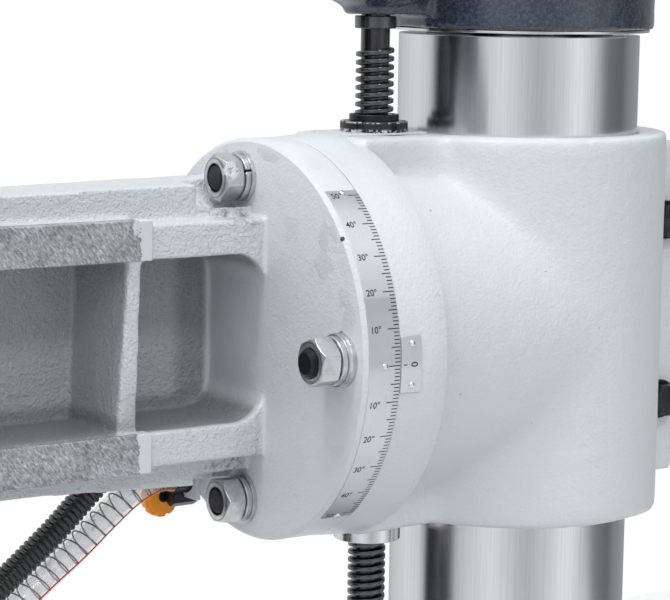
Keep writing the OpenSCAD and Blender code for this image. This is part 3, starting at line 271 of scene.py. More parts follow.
class Paint(Shader):
    """A material with a Principled surface, whose pattern lies in the object's own coordinates."""

    def __init__(self, name, rough=0.5, metal=0.0, **fixed):
        self.material = bpy.data.materials.new(name)
        self.material.use_nodes = True
        super().__init__(self.material.node_tree, "Object")
        self.surface = self.tree.nodes["Principled BSDF"]
        self.base = self.normal = None
        for key, value in dict(fixed, roughness=rough, metallic=metal).items():
            self.surface.inputs[key.replace("_", " ").title().replace("Ior", "IOR")].default_value = value

    def over(self, factor, colour):
        """Lays a colour over the base colour."""
        self.base = self.mix(factor, self.base, colour)

    def bump(self, height, depth, strength=1.0):
        inputs = {"Height": height, "Distance": depth, "Strength": strength}
        if self.normal is not None:
            inputs["Normal"] = self.normal
        self.normal = self.node("ShaderNodeBump", inputs)

    def finish(self, **linked):
        linked["Base Color"] = self.base
        if self.normal is not None:
            linked["Normal"] = self.normal
        for key, value in linked.items():
            self.tree.links.new(value.socket, self.surface.inputs[key.replace("_", " ").title()])
        return self.material


def shade(colour, factor):
    return tuple(min(1.0, c * factor) for c in colour)


MATERIALS = {}


def material(name):
    """A named finish, made when it is first asked for."""
    if name not in MATERIALS:
        MATERIALS[name] = FINISHES[name]()
    return MATERIALS[name]


def enamel_coat(paint, colour):
    """Enamel sprayed over filler on rough iron: waves, orange peel, pits and small chips."""
    waves = paint.grain(0.045, 2)
    lumps = paint.grain(0.011, 3, 0.6)
    peel = paint.grain(0.0021, 2, 0.55)
    pits = paint.cells(0.013).rising(0.09, 0.04) * paint.grain(0.03).rising(0.60, 0.70)
    paint.bump(waves, 0.0016, 0.5)
    paint.bump(lumps, 0.0013, 0.5)
    paint.bump(peel - pits * 2.0, 0.00045, 0.9)
    dirt = paint.grain(0.12, 4, 0.6).rising(0.42, 0.75)
    speck = paint.grain(0.0011, 1).rising(0.70, 0.76) * 0.5
    paint.base = paint.mix(dirt * 0.15, colour, shade(colour, 0.90))
    paint.over(speck * 0.5, shade(colour, 0.78))
    paint.over(pits * 0.45, shade(colour, 0.45))
    return 0.34 + peel * 0.16 + dirt * 0.06


def light_enamel():
    paint = Paint("Light enamel", coat_weight=0.15, coat_roughness=0.25)
    return paint.finish(roughness=enamel_coat(paint, tuple(colours().enamel)))


def arm_enamel():
    """The arm's enamel: smooth on the flange, thick and rough on the rails, with painted shade in the
    pockets.
    """
    paint = Paint("Arm enamel", coat_weight=0.15, coat_roughness=0.25)
    rough = enamel_coat(paint, tuple(colours().enamel))
    x, y, z = (paint.axis(i) for i in range(3))
    height = z - AXIS_Z
    beam = x.rising(ARM_FACE * MM, (ARM_FACE - 8) * MM)
    crust = paint.grain(0.0042, 3, 0.65)
    fine = paint.grain(0.0017, 2, 0.6)
    paint.bump(crust * beam, 0.0022, 0.9)
    paint.bump(fine * beam, 0.0009, 0.8)
    # Painted shade in the pockets: their inside is darkened, most beside the ribs, at the end wall and on the
    # floor
    inside = height.rising(POCKET_LOW, POCKET_LOW + 0.0045) * height.rising(POCKET_HIGH, POCKET_HIGH - 0.004)
    pocket = y.rising(POCKET_Y, POCKET_Y + 0.005) * beam * inside
    to_rib = abs(((x - RIB_X) / RIB_PITCH).wrapped() * RIB_PITCH)
    walls = (to_rib.rising(0.0125, 0.0065) + x.rising(-0.272, -0.258)).held()
    pocket_floor_shade = height.rising(-0.040, -0.050)
    dark = (0.25 + walls * 0.33 + pocket_floor_shade * 0.36).held().lowest(0.62) * pocket
    brushed = paint.grain(0.0022, 3, 0.6, place=paint.slanted(-62, 3.0)).rising(0.40, 0.68)
    # Lays the painted pocket shade over the enamel
    paint.over(dark, (0.040, 0.037, 0.034))
    paint.over(pocket * brushed * 0.20, (0.46, 0.46, 0.465))
    blotches = paint.grain(0.004, 4, 0.7)
    chip = paint.near(rel(*DIRT), 0.0055, 0.25, (1, 1, 1.2)) * paint.grain(0.004, 2).rising(0.36, 0.44)
    paint.over(chip * 0.85, (0.13, 0.085, 0.055))
    # Painted shadow and grime in the corner over the upper strip
    seam_shadow_and_grime = abs(height - SEAM_HEIGHT).rising(0.0012, 0.0005) * y.rising(-0.0188, -0.0202) * beam
    seam_shadow_and_grime = seam_shadow_and_grime * paint.grain(0.03, 3).rising(0.36, 0.50)
    paint.over(seam_shadow_and_grime * 0.75, (0.16, 0.13, 0.10))
    # Darker patches round the notches for the upper and the lower stud
    for side in (1, -1):
        around = paint.near(rel(ARM_FACE - 14, -4, side * 109), 0.036, 0.35) * beam
        paint.over(around * blotches.rising(0.46, 0.62) * 0.75, NOTCH_DARKENING)
    # Painted shade of a small pin hole in the arm's flange: a dark spot, with no hole cut
    hole_shade = paint.near(rel(*PIN_HOLE), 0.0021, 0.35)
    paint.over(hole_shade, (0.01, 0.01, 0.01))
    return paint.finish(roughness=rough)


def scraped_iron():
    """Milled and scraped guide face: slanting marks, and paint and dark skin left at its end."""
    paint = Paint("Scraped iron", coat_weight=0.1, coat_roughness=0.3)
    marks = paint.grain(0.0016, 3, 0.65, place=paint.slanted(52, 3.2))
    cross = paint.grain(0.0020, 2, 0.55, place=paint.slanted(40, 1.8))
    cloud = paint.grain(0.022, 3, 0.6)
    fine = paint.grain(0.0009, 1)
    tone = (marks * 0.75 + cross * 0.35 + cloud * 0.35 + fine * 0.25 - 0.35).held()
    paint.base = paint.ramp(tone, [(0.22, (0.075, 0.074, 0.076)), (0.40, (0.225, 0.224, 0.238)),
                                   (0.55, (0.385, 0.385, 0.412)), (0.76, (0.72, 0.725, 0.76))])
    along = paint.axis(0)
    end = along + paint.grain(0.006, 3, 0.7) * 0.011
    end = end.rising(STRIP_END + 0.0008, STRIP_END + 0.0023)
    rim = along + paint.grain(0.009, 3, 0.7) * 0.020
    rim = rim.rising(STRIP_END + 0.0035, STRIP_END + 0.0090)
    blob = paint.near(rel(*PAINT_BLOB), 0.007, 0.3, (1, 0.6, 1))
    end = (end + blob * paint.grain(0.003, 2).rising(0.34, 0.44)).held()
    paint.over(rim * 0.75, (0.10, 0.095, 0.09))
    paint.over(end, tuple(colours().enamel))
    paint.bump(marks + cross * 0.5, 0.00025, 0.6)
    paint.bump(end, 0.0008, 0.8)
    return paint.finish(roughness=0.42 + tone * 0.2, metallic=0.25 - end * 0.25)


def ground_column():
    """Column steel, ground round, with faint upright rubbing marks and a few stains."""
    paint = Paint("Ground column steel", rough=0.22, metal=1.0)
    rounds = paint.grain(0.0007, 2, 0.6, place=paint.at(scale=(0.02, 0.02, 1)))
    rubbed = paint.grain(0.0016, 3, 0.6, place=paint.at(scale=(1, 1, 0.015)))
    cloud = paint.grain(0.05, 3)
    spot = paint.cells(0.03).rising(0.06, 0.02) * paint.grain(0.05).rising(0.5, 0.6)
    paint.base = paint.mix(rubbed.rising(0.4, 0.75) * 0.5, (0.68, 0.69, 0.71), (0.56, 0.57, 0.59))
    paint.over(spot * 0.7, (0.10, 0.09, 0.08))
    paint.bump(rounds, 0.00003, 0.3)
    return paint.finish(roughness=0.13 + cloud * 0.06 + rubbed * 0.05)


def blackened_steel():
    paint = Paint("Blackened steel", metal=0.85)
    wear = paint.grain(0.006, 4, 0.65)
    fine = paint.grain(0.0012, 2)
    paint.base = paint.mix(wear.rising(0.55, 0.8) * 0.5, (0.030, 0.030, 0.032), (0.16, 0.15, 0.14))
    paint.bump(fine, 0.00008, 0.4)
    return paint.finish(roughness=0.22 + wear * 0.25)


def oiled_thread():
    paint = Paint("Oiled black thread", metal=0.75, coat_weight=0.5, coat_roughness=0.12)
    wear = paint.grain(0.010, 4, 0.6)
    crest = paint.away(rel(SCREW_X, 0, 0), (1, 1, 0)).rising(0.0128, 0.0139)
    paint.base = paint.mix(crest * 0.55, (0.030, 0.030, 0.032), (0.13, 0.13, 0.135))
    paint.over(wear.rising(0.6, 0.75) * 0.35, (0.15, 0.11, 0.07))
    paint.bump(paint.grain(0.0012, 2), 0.0001, 0.5)
    return paint.finish(roughness=0.10 + wear * 0.22)


def bright_zinc():
    """Zinc on the flange's nuts: clouded, with dark rings at each chamfer's edge and round each bore, and
    paint run over the upper one.
    """
    paint = Paint("Bright zinc", metal=0.95)
    cloud = paint.grain(0.007, 3, 0.6)
    scratch = paint.grain(0.0014, 3, 0.7)
    spot = paint.cells(0.004).rising(0.13, 0.05) * paint.grain(0.01).rising(0.48, 0.58)
    paint.base = paint.mix(cloud.rising(0.40, 0.75) * 0.6, (0.60, 0.61, 0.635), (0.40, 0.41, 0.43))
    paint.over(spot * 0.6, (0.14, 0.13, 0.12))
    front = paint.axis(0).rising(-0.2500, -0.2560)
    # Dark rings on each nut's face, at the chamfer's edge and round the bore
    for i, turn in enumerate(STUD_TURNS):
        a = radians(i * 90 + turn)
        away = paint.away(rel(0, -STUD_R * cos(a), STUD_R * sin(a)), (0, 1, 1))
        circle = abs(away - 0.0137).rising(0.0007, 0.0002) + abs(away - 0.0101).rising(0.0008, 0.0003)
        paint.over(circle.held() * front * (0.35 + cloud * 0.5), (0.07, 0.06, 0.05))
    run = paint.near(rel(*PAINT_RUN), 0.0105, 0.3) * paint.grain(0.005, 3).rising(0.40, 0.50)
    paint.over(run, tuple(colours().enamel))
    paint.bump(scratch, 0.00008, 0.35)
    paint.bump(run, 0.0006, 0.6)
    return paint.finish(roughness=0.20 + cloud * 0.22 + run * 0.1,
                        metallic=0.95 - run * 0.95)


def chipped_black():
    """Black oxide knocked bright along its rims."""
    paint = Paint("Chipped black ring", metal=0.7)
    wear = paint.grain(0.0035, 3, 0.7)
    height = paint.axis(2)
    foot = height.rising(AXIS_Z + RING_FOOT + 0.002, AXIS_Z + RING_FOOT)
    rim = height.rising(AXIS_Z + RING_RIM - 0.001, AXIS_Z + RING_RIM)
    chips = ((foot + rim * 0.6) * wear.rising(0.46, 0.56)).held()
    paint.base = paint.mix(chips, (0.035, 0.035, 0.037), (0.66, 0.68, 0.70))
    paint.bump(wear, 0.0004, 0.5)
    return paint.finish(roughness=0.30 + wear * 0.2, metallic=0.7 - chips * 0.5)


def hammered_enamel():
    """Hammered enamel: dark blue, in drawn-together puddles with pale rims."""
    paint = Paint("Hammered enamel", coat_weight=0.6, coat_roughness=0.12)
    colour = tuple(colours().hammered)
    waves = paint.grain(0.035, 2, 0.5)
    warp = paint.grain(1 / 160, 1, output="Color")
    place = paint.vector("ADD", paint.place, paint.vector("MULTIPLY", warp, (0.004, 0.004, 0.004)))
    puddle = paint.cells(0.0021, place, "SMOOTH_F1")
    flake = paint.grain(0.0010, 2, 0.7).rising(0.50, 0.72)
    rims = puddle.rising(0.30, 0.62)
    paint.base = paint.mix(rims * 0.5, shade(colour, 0.95), shade(colour, 1.8))
    paint.over(flake * rims * 0.35, (0.26, 0.32, 0.42))
    bare = paint.near(rel(*BARE_SPOT), 0.0075, 0.35, (0.8, 1, 1.3))
    bare = bare * paint.grain(0.004).rising(0.36, 0.44)
    paint.over(bare, (0.62, 0.40, 0.12))
    paint.bump(waves, 0.003, 0.5)
    paint.bump(puddle, 0.0004, 0.55)
    return paint.finish(roughness=0.26 + rims * 0.15, metallic=0.35 - bare * 0.35)


def smooth_enamel(name, pick, factor=1.0):
    def build():
        paint = Paint(name, coat_weight=0.3, coat_roughness=0.2)
        colour = shade(tuple(getattr(colours(), pick)), factor)
        cloud = paint.grain(0.08, 3)
        peel = paint.grain(0.0026, 2)
        dust = paint.grain(0.012, 4, 0.7).rising(0.5, 0.8)
        paint.base = paint.mix(cloud * 0.4, shade(colour, 1.12), shade(colour, 0.84))
        paint.over(dust * 0.18, (0.45, 0.46, 0.48))
        paint.bump(peel, 0.0002, 0.5)
        return paint.finish(roughness=0.33 + cloud * 0.12 + dust * 0.1)
    return build


# Painted reflection bands: how bright the scale plate's reflections are, from its lower end at 0 to its upper
# end at 1
PLATE_REFLECTION_BANDS = ((0.0, 0.10), (0.06, 0.45), (0.25, 0.95), (0.48, 0.90), (0.51, 0.45), (0.70, 0.30),
               (0.713, 0.85), (0.86, 1.0), (0.95, 0.70), (1.0, 0.10))


def scale_metal():
    """Satin plate with fine brushing round the flange, and painted reflection bands up its height."""
    paint = Paint("Satin scale plate", metal=0.55)
    brushed = paint.grain(0.0006, 2, place=paint.at(scale=(1, 0.04, 0.04)))
    cloud = paint.grain(0.03, 2)
    # Painted reflections: the plate's colour is lightened and darkened in bands by height
    level = (paint.axis(2) - AXIS_Z) / 0.220 + 0.5
    bands = paint.ramp(level, [(place, (tone,) * 3) for place, tone in PLATE_REFLECTION_BANDS])
    tone = (bands * 0.85 + cloud * 0.25).held()
    paint.base = paint.mix(tone, (0.36, 0.375, 0.405), (0.66, 0.68, 0.715))
    paint.bump(brushed, 0.00005, 0.5)
    return paint.finish(roughness=0.24 + brushed * 0.12)


def ink():
    paint = Paint("Scale ink", rough=0.6)
    worn = paint.grain(0.0012, 3, 0.7).rising(0.60, 0.72)
    paint.base = paint.mix(worn * 0.25, (0.014, 0.014, 0.016), (0.30, 0.31, 0.33))
    return paint.finish(roughness=0.45 + worn * 0.3)


def hose_wall():
    """Clear hose: milky, with dried coolant inside."""
    paint = Paint("Clear hose wall", coat_weight=0.6, coat_roughness=0.08, ior=1.45)
    cloud = paint.grain(0.020, 3)
    dried = paint.grain(0.013, 3, 0.65).rising(0.62, 0.74)
    paint.base = paint.mix(dried * 0.8, (0.78, 0.79, 0.80), (0.36, 0.27, 0.17))
    paint.bump(cloud, 0.0006, 0.4)
    return paint.finish(roughness=0.10 + cloud * 0.12,
                        alpha=0.20 + cloud * 0.10 + dried * 0.34)


def clouded(name, size, first, second, rough, metal=0.0, share=1.0):
    """A finish that wanders between two colours, and is rougher towards the second."""
    def build():
        paint = Paint(name, metal=metal)
        cloud = paint.grain(size, 2)
        paint.base = paint.mix(cloud * share, first, second)
        return paint.finish(roughness=rough[0] + cloud * rough[1])
    return build


def moulded(name, colour, rough=0.38, speckle=0.25, coat=0.0):
    def build():
        paint = Paint(name, coat_weight=coat, coat_roughness=0.1)
        tone = tuple(getattr(colours(), colour)) if isinstance(colour, str) else colour
        fine = paint.grain(0.0011, 2)
        cloud = paint.grain(0.015, 3)
        dust = paint.grain(0.005, 4, 0.7).rising(0.55, 0.8)
        paint.base = paint.mix(cloud * 0.35, tone, shade(tone, 0.78))
        paint.over(dust * speckle * 0.4, (0.42, 0.42, 0.42))
        paint.bump(fine, 0.00012, 0.5)
        return paint.finish(roughness=rough + dust * 0.2)
    return build


def machined(name, tone=(0.52, 0.53, 0.55), rough=0.24, oil=0.3):
    def build():
        paint = Paint(name, metal=1.0)
        rounds = paint.grain(0.0008, 2, place=paint.at(scale=(0.05, 0.05, 1)))
        cloud = paint.grain(0.018, 4, 0.6)
        paint.base = paint.mix(cloud.rising(0.4, 0.8) * oil, tone, shade(tone, 0.45))
        paint.bump(rounds, 0.00005, 0.4)
        return paint.finish(roughness=rough + cloud * 0.14)
    return build


FINISHES = {
    "enamel": light_enamel, "arm": arm_enamel, "scraped": scraped_iron, "column": ground_column,
    "black": blackened_steel, "thread": oiled_thread, "zinc": bright_zinc, "ring": chipped_black,
    "hammered": hammered_enamel, "motor": smooth_enamel("Motor enamel", "motor"),
    "cover": smooth_enamel("Dark cover enamel", "motor", 0.45), "base": smooth_enamel("Base enamel", "base"),
    "plate": scale_metal, "ink": ink, "hose": hose_wall,
    "rivet": clouded("Polished rivet", 0.002, (0.82, 0.83, 0.85), (0.66, 0.67, 0.70), (0.16, 0.16), 1.0),
    "wire": clouded("Hose wire", 0.004, (0.022, 0.021, 0.022), (0.06, 0.058, 0.058), (0.3, 0.2), 0.8),
    "stripe": clouded("Red stripe", 0.006, (0.56, 0.018, 0.03), (0.40, 0.014, 0.022), (0.3, 0.2),
                      share=0.5),
    "conduit": moulded("Corrugated conduit", (0.0045, 0.0045, 0.005), 0.20, 0.05, 0.3),
    "orange": moulded("Orange knob", "orange", 0.42, 0.03, 0.1),
    "dark_plastic": moulded("Dark moulding", (0.055, 0.058, 0.064), 0.42),
    "black_plastic": moulded("Black moulding", (0.016, 0.016, 0.018), 0.22, 0.15, 0.4),
    "red_plastic": moulded("Red button", (0.48, 0.016, 0.016), 0.26, 0.1, 0.4),
    "green_plastic": moulded("Green button", (0.02, 0.26, 0.09), 0.26, 0.1, 0.4),
    "machined": machined("Machined steel"),
    "gear": machined("Oiled gear steel", (0.34, 0.35, 0.37), 0.3, 0.6),
    "polished": machined("Polished steel", (0.68, 0.69, 0.71), 0.10, 0.2),
}


# Shapes

def piece(name, bm, body, slot, finish, sharp=SHARP):
    """Makes an object of a bmesh in the shared frame and lets it ride on a body."""
    mesh = bpy.data.meshes.new(name)
    bm.to_mesh(mesh)
    bm.free()
    mesh.shade_smooth()
    mesh.set_sharp_from_angle(angle=radians(sharp))
    mesh.materials.append(material(finish))
    made = bpy.data.objects.new(name, mesh)
    bpy.context.scene.collection.objects.link(made)
    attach(made, body)
    return made


def merged(node):
    """A bmesh of a CAD node's solids with its flat faces whole again."""
    bm = bmesh.new()
    bm.from_mesh(frame["nodes"][node].data)
    bmesh.ops.remove_doubles(bm, verts=bm.verts, dist=2e-6)
    bmesh.ops.dissolve_limit(bm, angle_limit=radians(0.4), verts=bm.verts, edges=bm.edges)
    return bm


def body_of(node):
    return frame["nodes"][node]["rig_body"]


def slot_of(node):
    return next(s["material_slot"] for s in frame["record"]["subparts"] if s["node"] == node)


def applied(made):
    """The same piece with its modifiers worked into its mesh."""
    made.data = bpy.data.meshes.new_from_object(made.evaluated_get(bpy.context.evaluated_depsgraph_get()))
    made.modifiers.clear()
    return made


def broken(made, width, segments=2):
    """Bevels a piece's sharp edges to a width in millimetres."""
    bevel = made.modifiers.new("Edges", "BEVEL")
    bevel.width, bevel.segments = width * MM, segments
    bevel.limit_method, bevel.angle_limit = "ANGLE", radians(30)
    return made


def eased(node, width, finish, segments=2):
    """Stands for a CAD node with its sharp edges broken by a bevel of a width in millimetres."""
    made = piece(node + "_piece", merged(node), body_of(node), slot_of(node), finish)
    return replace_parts(broken(made, width, segments), node)


def casting(node, finish, cell, rounds, lumps=0.25, blend=None):
    """Stands for a CAD node cast in sand: its corners are eased and its skin is slightly uneven.

    Where blend gives a vertex a share over 0, the skin is first drawn smooth over a wide radius.
    """
    made = piece(node + "_piece", merged(node), body_of(node), slot_of(node), finish)
    skin = made.modifiers.new("Skin", "REMESH")
    skin.mode, skin.voxel_size = "VOXEL", cell
    ease = made.modifiers.new("Ease", "SMOOTH")
    ease.factor, ease.iterations = 0.5, rounds
    applied(made)
    if blend:
        wide = made.vertex_groups.new(name="Wide")
        for vert in made.data.vertices:
            share = blend(vert.co)
            if share > 0.0:
                wide.add([vert.index], share, "REPLACE")
        draw = made.modifiers.new("Draw", "SMOOTH")
        draw.factor, draw.iterations, draw.vertex_group = 0.5, BLEND_ROUNDS, "Wide"
        applied(made)
        made.vertex_groups.clear()
    mesh = made.data
    normals = [vert.normal.copy() for vert in mesh.vertices]
    for vert, normal in zip(mesh.vertices, normals):
        p = vert.co * SKIN_LUMPS
        vert.co += normal * (lumps * MM * (noise.noise(p) + 0.4 * noise.noise(p * 3.1)))
    count = 2 * len(mesh.polygons)
    if count > MOST_TRIANGLES:
        thin = made.modifiers.new("Thin", "DECIMATE")
        thin.ratio = MOST_TRIANGLES / count
        applied(made)
    made.data.shade_smooth()
    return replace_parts(made, node)


def revolved(profile, matrix=Matrix(), steps=48, bm=None):
    """Spins (radius, height) points about Z, then places the shape."""
    bm = bm or bmesh.new()
    before = set(bm.verts)
    verts = [bm.verts.new((r, 0, z)) for r, z in profile]
    edges = [bm.edges.new(pair) for pair in zip(verts, verts[1:])]
    bmesh.ops.spin(bm, geom=verts + edges, cent=(0, 0, 0), axis=(0, 0, 1), angle=tau, steps=steps,
                   use_merge=True, use_duplicate=False)
    new = [v for v in bm.verts if v not in before]
    bmesh.ops.remove_doubles(bm, verts=new, dist=1e-6)
    new = [v for v in bm.verts if v not in before]
    bmesh.ops.transform(bm, matrix=matrix, verts=new)
    bmesh.ops.recalc_face_normals(bm, faces=[f for f in bm.faces if f.verts[0] not in before])
    return bm


def along_x(x, y, z):
    """Stands a shape of revolution with its axis along -X at a point from the arm's axis."""
    return Matrix.Translation(rel(x, y, z)) @ Matrix.Rotation(-pi / 2, 4, "Y")


def along_y(x, y, z):
    """Stands a shape of revolution with its axis along -Y at a point from the arm's axis."""
    return Matrix.Translation(rel(x, y, z)) @ Matrix.Rotation(pi / 2, 4, "X")


def box(bm, low, high):
    """A block between two corners in millimetres from the arm's axis."""
    a, b = rel(*low), rel(*high)
    size = Matrix.Diagonal((*(b - a), 1))
    return bmesh.ops.create_cube(bm, size=1.0, matrix=Matrix.Translation((a + b) / 2) @ size)["verts"]


def stacked(bm, step, count):
    """The shape of a bmesh repeated up Z and joined where the copies meet."""
    mesh = bpy.data.meshes.new("stack")
    bm.to_mesh(mesh)
    bm.free()
    holder = bpy.data.objects.new("stack", mesh)
    bpy.context.scene.collection.objects.link(holder)
    array = holder.modifiers.new("Stack", "ARRAY")
    array.use_relative_offset, array.use_constant_offset = False, True
    array.constant_offset_displace, array.count = (0, 0, step), count
    array.use_merge_vertices, array.merge_threshold = True, step * 0.002
    whole = bpy.data.meshes.new_from_object(holder.evaluated_get(bpy.context.evaluated_depsgraph_get()))
    made = bmesh.new()
    made.from_mesh(whole)
    bpy.data.objects.remove(holder)
    bpy.data.meshes.remove(mesh)
    bpy.data.meshes.remove(whole)
    return made


def one_turn(outline, pitch, steps=32, closed=False):
    """A right-hand turn of an outline of (radius, height) points round Z."""
    bm = bmesh.new()
    verts = [bm.verts.new((r, 0, z)) for r, z in outline]
    edges = [bm.edges.new(pair) for pair in zip(verts, verts[1:] + verts[:1] if closed else verts[1:])]
    bmesh.ops.spin(bm, geom=verts + edges, cent=(0, 0, 0), axis=(0, 0, 1), dvec=(0, 0, pitch / steps),
                   angle=tau, steps=steps, use_merge=False, use_duplicate=False)
    return bm


def thread(profile, pitch, length, matrix):
    """A right-hand thread up Z: profile lists (radius, share of the pitch) over one turn."""
    turn = one_turn([(r, share * pitch) for r, share in profile], pitch)
    bm = stacked(turn, pitch, int(length / pitch) - 1)
    bmesh.ops.transform(bm, matrix=matrix, verts=bm.verts)
    return bm


def joined(*parts):
    """One bmesh of several."""
    whole = bmesh.new()
    for part in parts:
        mesh = bpy.data.meshes.new("part")
        part.to_mesh(mesh)
        part.free()
        whole.from_mesh(mesh)
        bpy.data.meshes.remove(mesh)
    return whole


def stud_place(i, x):
    """Stands a shape on the flange's stud i at x, its height towards -X."""
    a = radians(i * 90 + STUD_TURNS[i])
    return along_x(x, -STUD_R * cos(a), STUD_R * sin(a))


def on_rim(x, angle, radius):
    """A point on the flange's rim: angle 0 faces the front, and grows upwards."""
    a = radians(angle)
    return rel(x, -radius * cos(a), radius * sin(a))


def rim_patch(bm, x, angle, radius, along, across, thick):
    """A small raised block on the rim, with its length along the axis."""
    turn = Matrix.Rotation(radians(-angle), 4, "X")
    place = Matrix.Translation(on_rim(x, angle, radius)) @ turn
    size = Matrix.Diagonal((along * MM, thick * MM, across * MM, 1))
    bmesh.ops.create_cube(bm, size=1.0, matrix=place @ size)


def figures(bm, words, height, x, angle, radius, turned=False, slope=0.0):
    """Prints figures with their middle at x and the angle, on a rim that grows by slope along x."""
    curve = bpy.data.curves.new("figures", "FONT")
    curve.body, curve.align_x, curve.align_y, curve.size = words, "LEFT", "BOTTOM", 1.0
    curve.offset = 0.014
    curve.extrude = 0.5
    holder = bpy.data.objects.new("figures", curve)
    bpy.context.scene.collection.objects.link(holder)
    mesh = bpy.data.meshes.new_from_object(holder.evaluated_get(bpy.context.evaluated_depsgraph_get()))
    bpy.data.objects.remove(holder)
    bpy.data.curves.remove(curve)
    low_x, high_x = min(v.co.x for v in mesh.vertices), max(v.co.x for v in mesh.vertices)
    low_y, high_y = min(v.co.y for v in mesh.vertices), max(v.co.y for v in mesh.vertices)
    scale = height / (high_y - low_y)
    for vert in mesh.vertices:
        u = (vert.co.x - (low_x + high_x) / 2) * scale
        v = (vert.co.y - (low_y + high_y) / 2) * scale
        if turned:
            u, v = v, -u
        place = radius + slope * u + INK_THICK * vert.co.z
        vert.co = on_rim(x + u, angle + degrees(v / radius), place)
    bm.from_mesh(mesh)
    bpy.data.meshes.remove(mesh)


# The same points as in part.scad, in millimetres from the arm's axis
HOSE_ROUTE = [(-253, 80, -112), (-267, 80, -112), (-287, 81, -121), (-309, 82, -138), (-331, 82, -156),
              (-359, 80, -175), (-402, 75, -205), (-450, 60, -233), (-505, 38, -250), (-560, 8, -246),
              (-610, -24, -218), (-645, -48, -180), (-664, -59, -150), (-668, -60, -130), (-668, -60, -112)]
CONDUIT_ROUTE = [(-278, 78, -86), (-289, 78, -86), (-305, 78, -99), (-327, 77, -118), (-347, 75, -135),
                 (-362, 74, -147), (-400, 70, -174), (-450, 58, -202), (-477, 49, -212), (-505, 38, -218),
                 (-533, 24, -217), (-560, 8, -211), (-600, -20, -184), (-626, -44, -152), (-636, -58, -128),
                 (-636, -58, -112)]


class Route:
    """A smooth line through points, with a frame that doesn't twist along it."""

    def __init__(self, points, cuts=600):
        knots = [rel(*p) for p in points]
        last = len(knots) - 1
        self.line = []
        for i in range(cuts + 1):
            t = i * last / cuts
            k = min(int(t), last - 1)
            u = t - k
            a, b, c, d = knots[max(k - 1, 0)], knots[k], knots[k + 1], knots[min(k + 2, last)]
            self.line.append(0.5 * (2 * b + (c - a) * u + (2 * a - 5 * b + 4 * c - d) * u * u
                                    + (3 * b - a - 3 * c + d) * u * u * u))
        self.sums = [0.0]
        for p, q in zip(self.line, self.line[1:]):
            self.sums.append(self.sums[-1] + (q - p).length)
        self.length = self.sums[-1]
        tangents = [(self.line[min(i + 1, cuts)] - self.line[max(i - 1, 0)]).normalized()
                    for i in range(cuts + 1)]
        side = tangents[0].cross(Vector((0, 0, 1))).normalized()
        self.frames = []
        for tangent in tangents:
            side = (side - tangent * side.dot(tangent)).normalized()
            self.frames.append((side, tangent.cross(side), tangent))

    def bend(self, bm):
        """Lays a shape that stands along Z, from 0 to the line's length, along the line."""
        for vert in bm.verts:
            x, y, z = vert.co
            share = min(max(z / self.length, 0.0), 1.0)
            low, high = 0, len(self.sums) - 1
            while high - low > 1:
                middle = (low + high) // 2
                if self.sums[middle] <= share * self.length:
                    low = middle
                else:
                    high = middle
            part = (share * self.length - self.sums[low]) / (self.sums[high] - self.sums[low])
            side, up, _ = (self.frames[low][i].lerp(self.frames[high][i], part) for i in range(3))
            vert.co = self.line[low].lerp(self.line[high], part) + side * x + up * y
        return bm


def ball(name, centre, diameter, body):
    """A turned ball knob of black plastic."""
    bm = bmesh.new()
    bmesh.ops.create_uvsphere(bm, u_segments=48, v_segments=24, radius=diameter * MM / 2,
                              matrix=Matrix.Translation(rel(*centre)))
    return piece(name, bm, body, "black_plastic", "black_plastic")


def tube(route, wall, bore, turns, steps):
    """A tube along a route: its wall's profile is (radius, share of a turn), and its bore is plain."""
    step, cut = route.length / turns, route.length / TUBE_CUTS
    skin = stacked(revolved([(r, share * step) for r, share in wall], steps=steps), step, turns)
    inside = stacked(revolved([(bore, 0.0), (bore, cut)], steps=steps), cut, TUBE_CUTS)
    ends = [revolved([(bore, height), (wall[0][0], height)], steps=steps) for height in (0.0, route.length)]
    bm = joined(skin, inside, *ends)
    bmesh.ops.remove_doubles(bm, verts=bm.verts, dist=1e-5)
    bmesh.ops.recalc_face_normals(bm, faces=bm.faces)
    return route.bend(bm)


def neck_blend(place):
    """How far a point of the sleeve belongs to the cast blend between its neck and its body."""
    x, y, z = place.x, place.y, abs(place.z - AXIS_Z)
    across = min(1.0, max(0.0, (x + 0.150) / 0.03)) * min(1.0, max(0.0, (0.060 - x) / 0.03))
    return across * min(1.0, max(0.0, (-0.025 - y) / 0.02)) * min(1.0, max(0.0, (0.145 - z) / 0.02))


# Operators

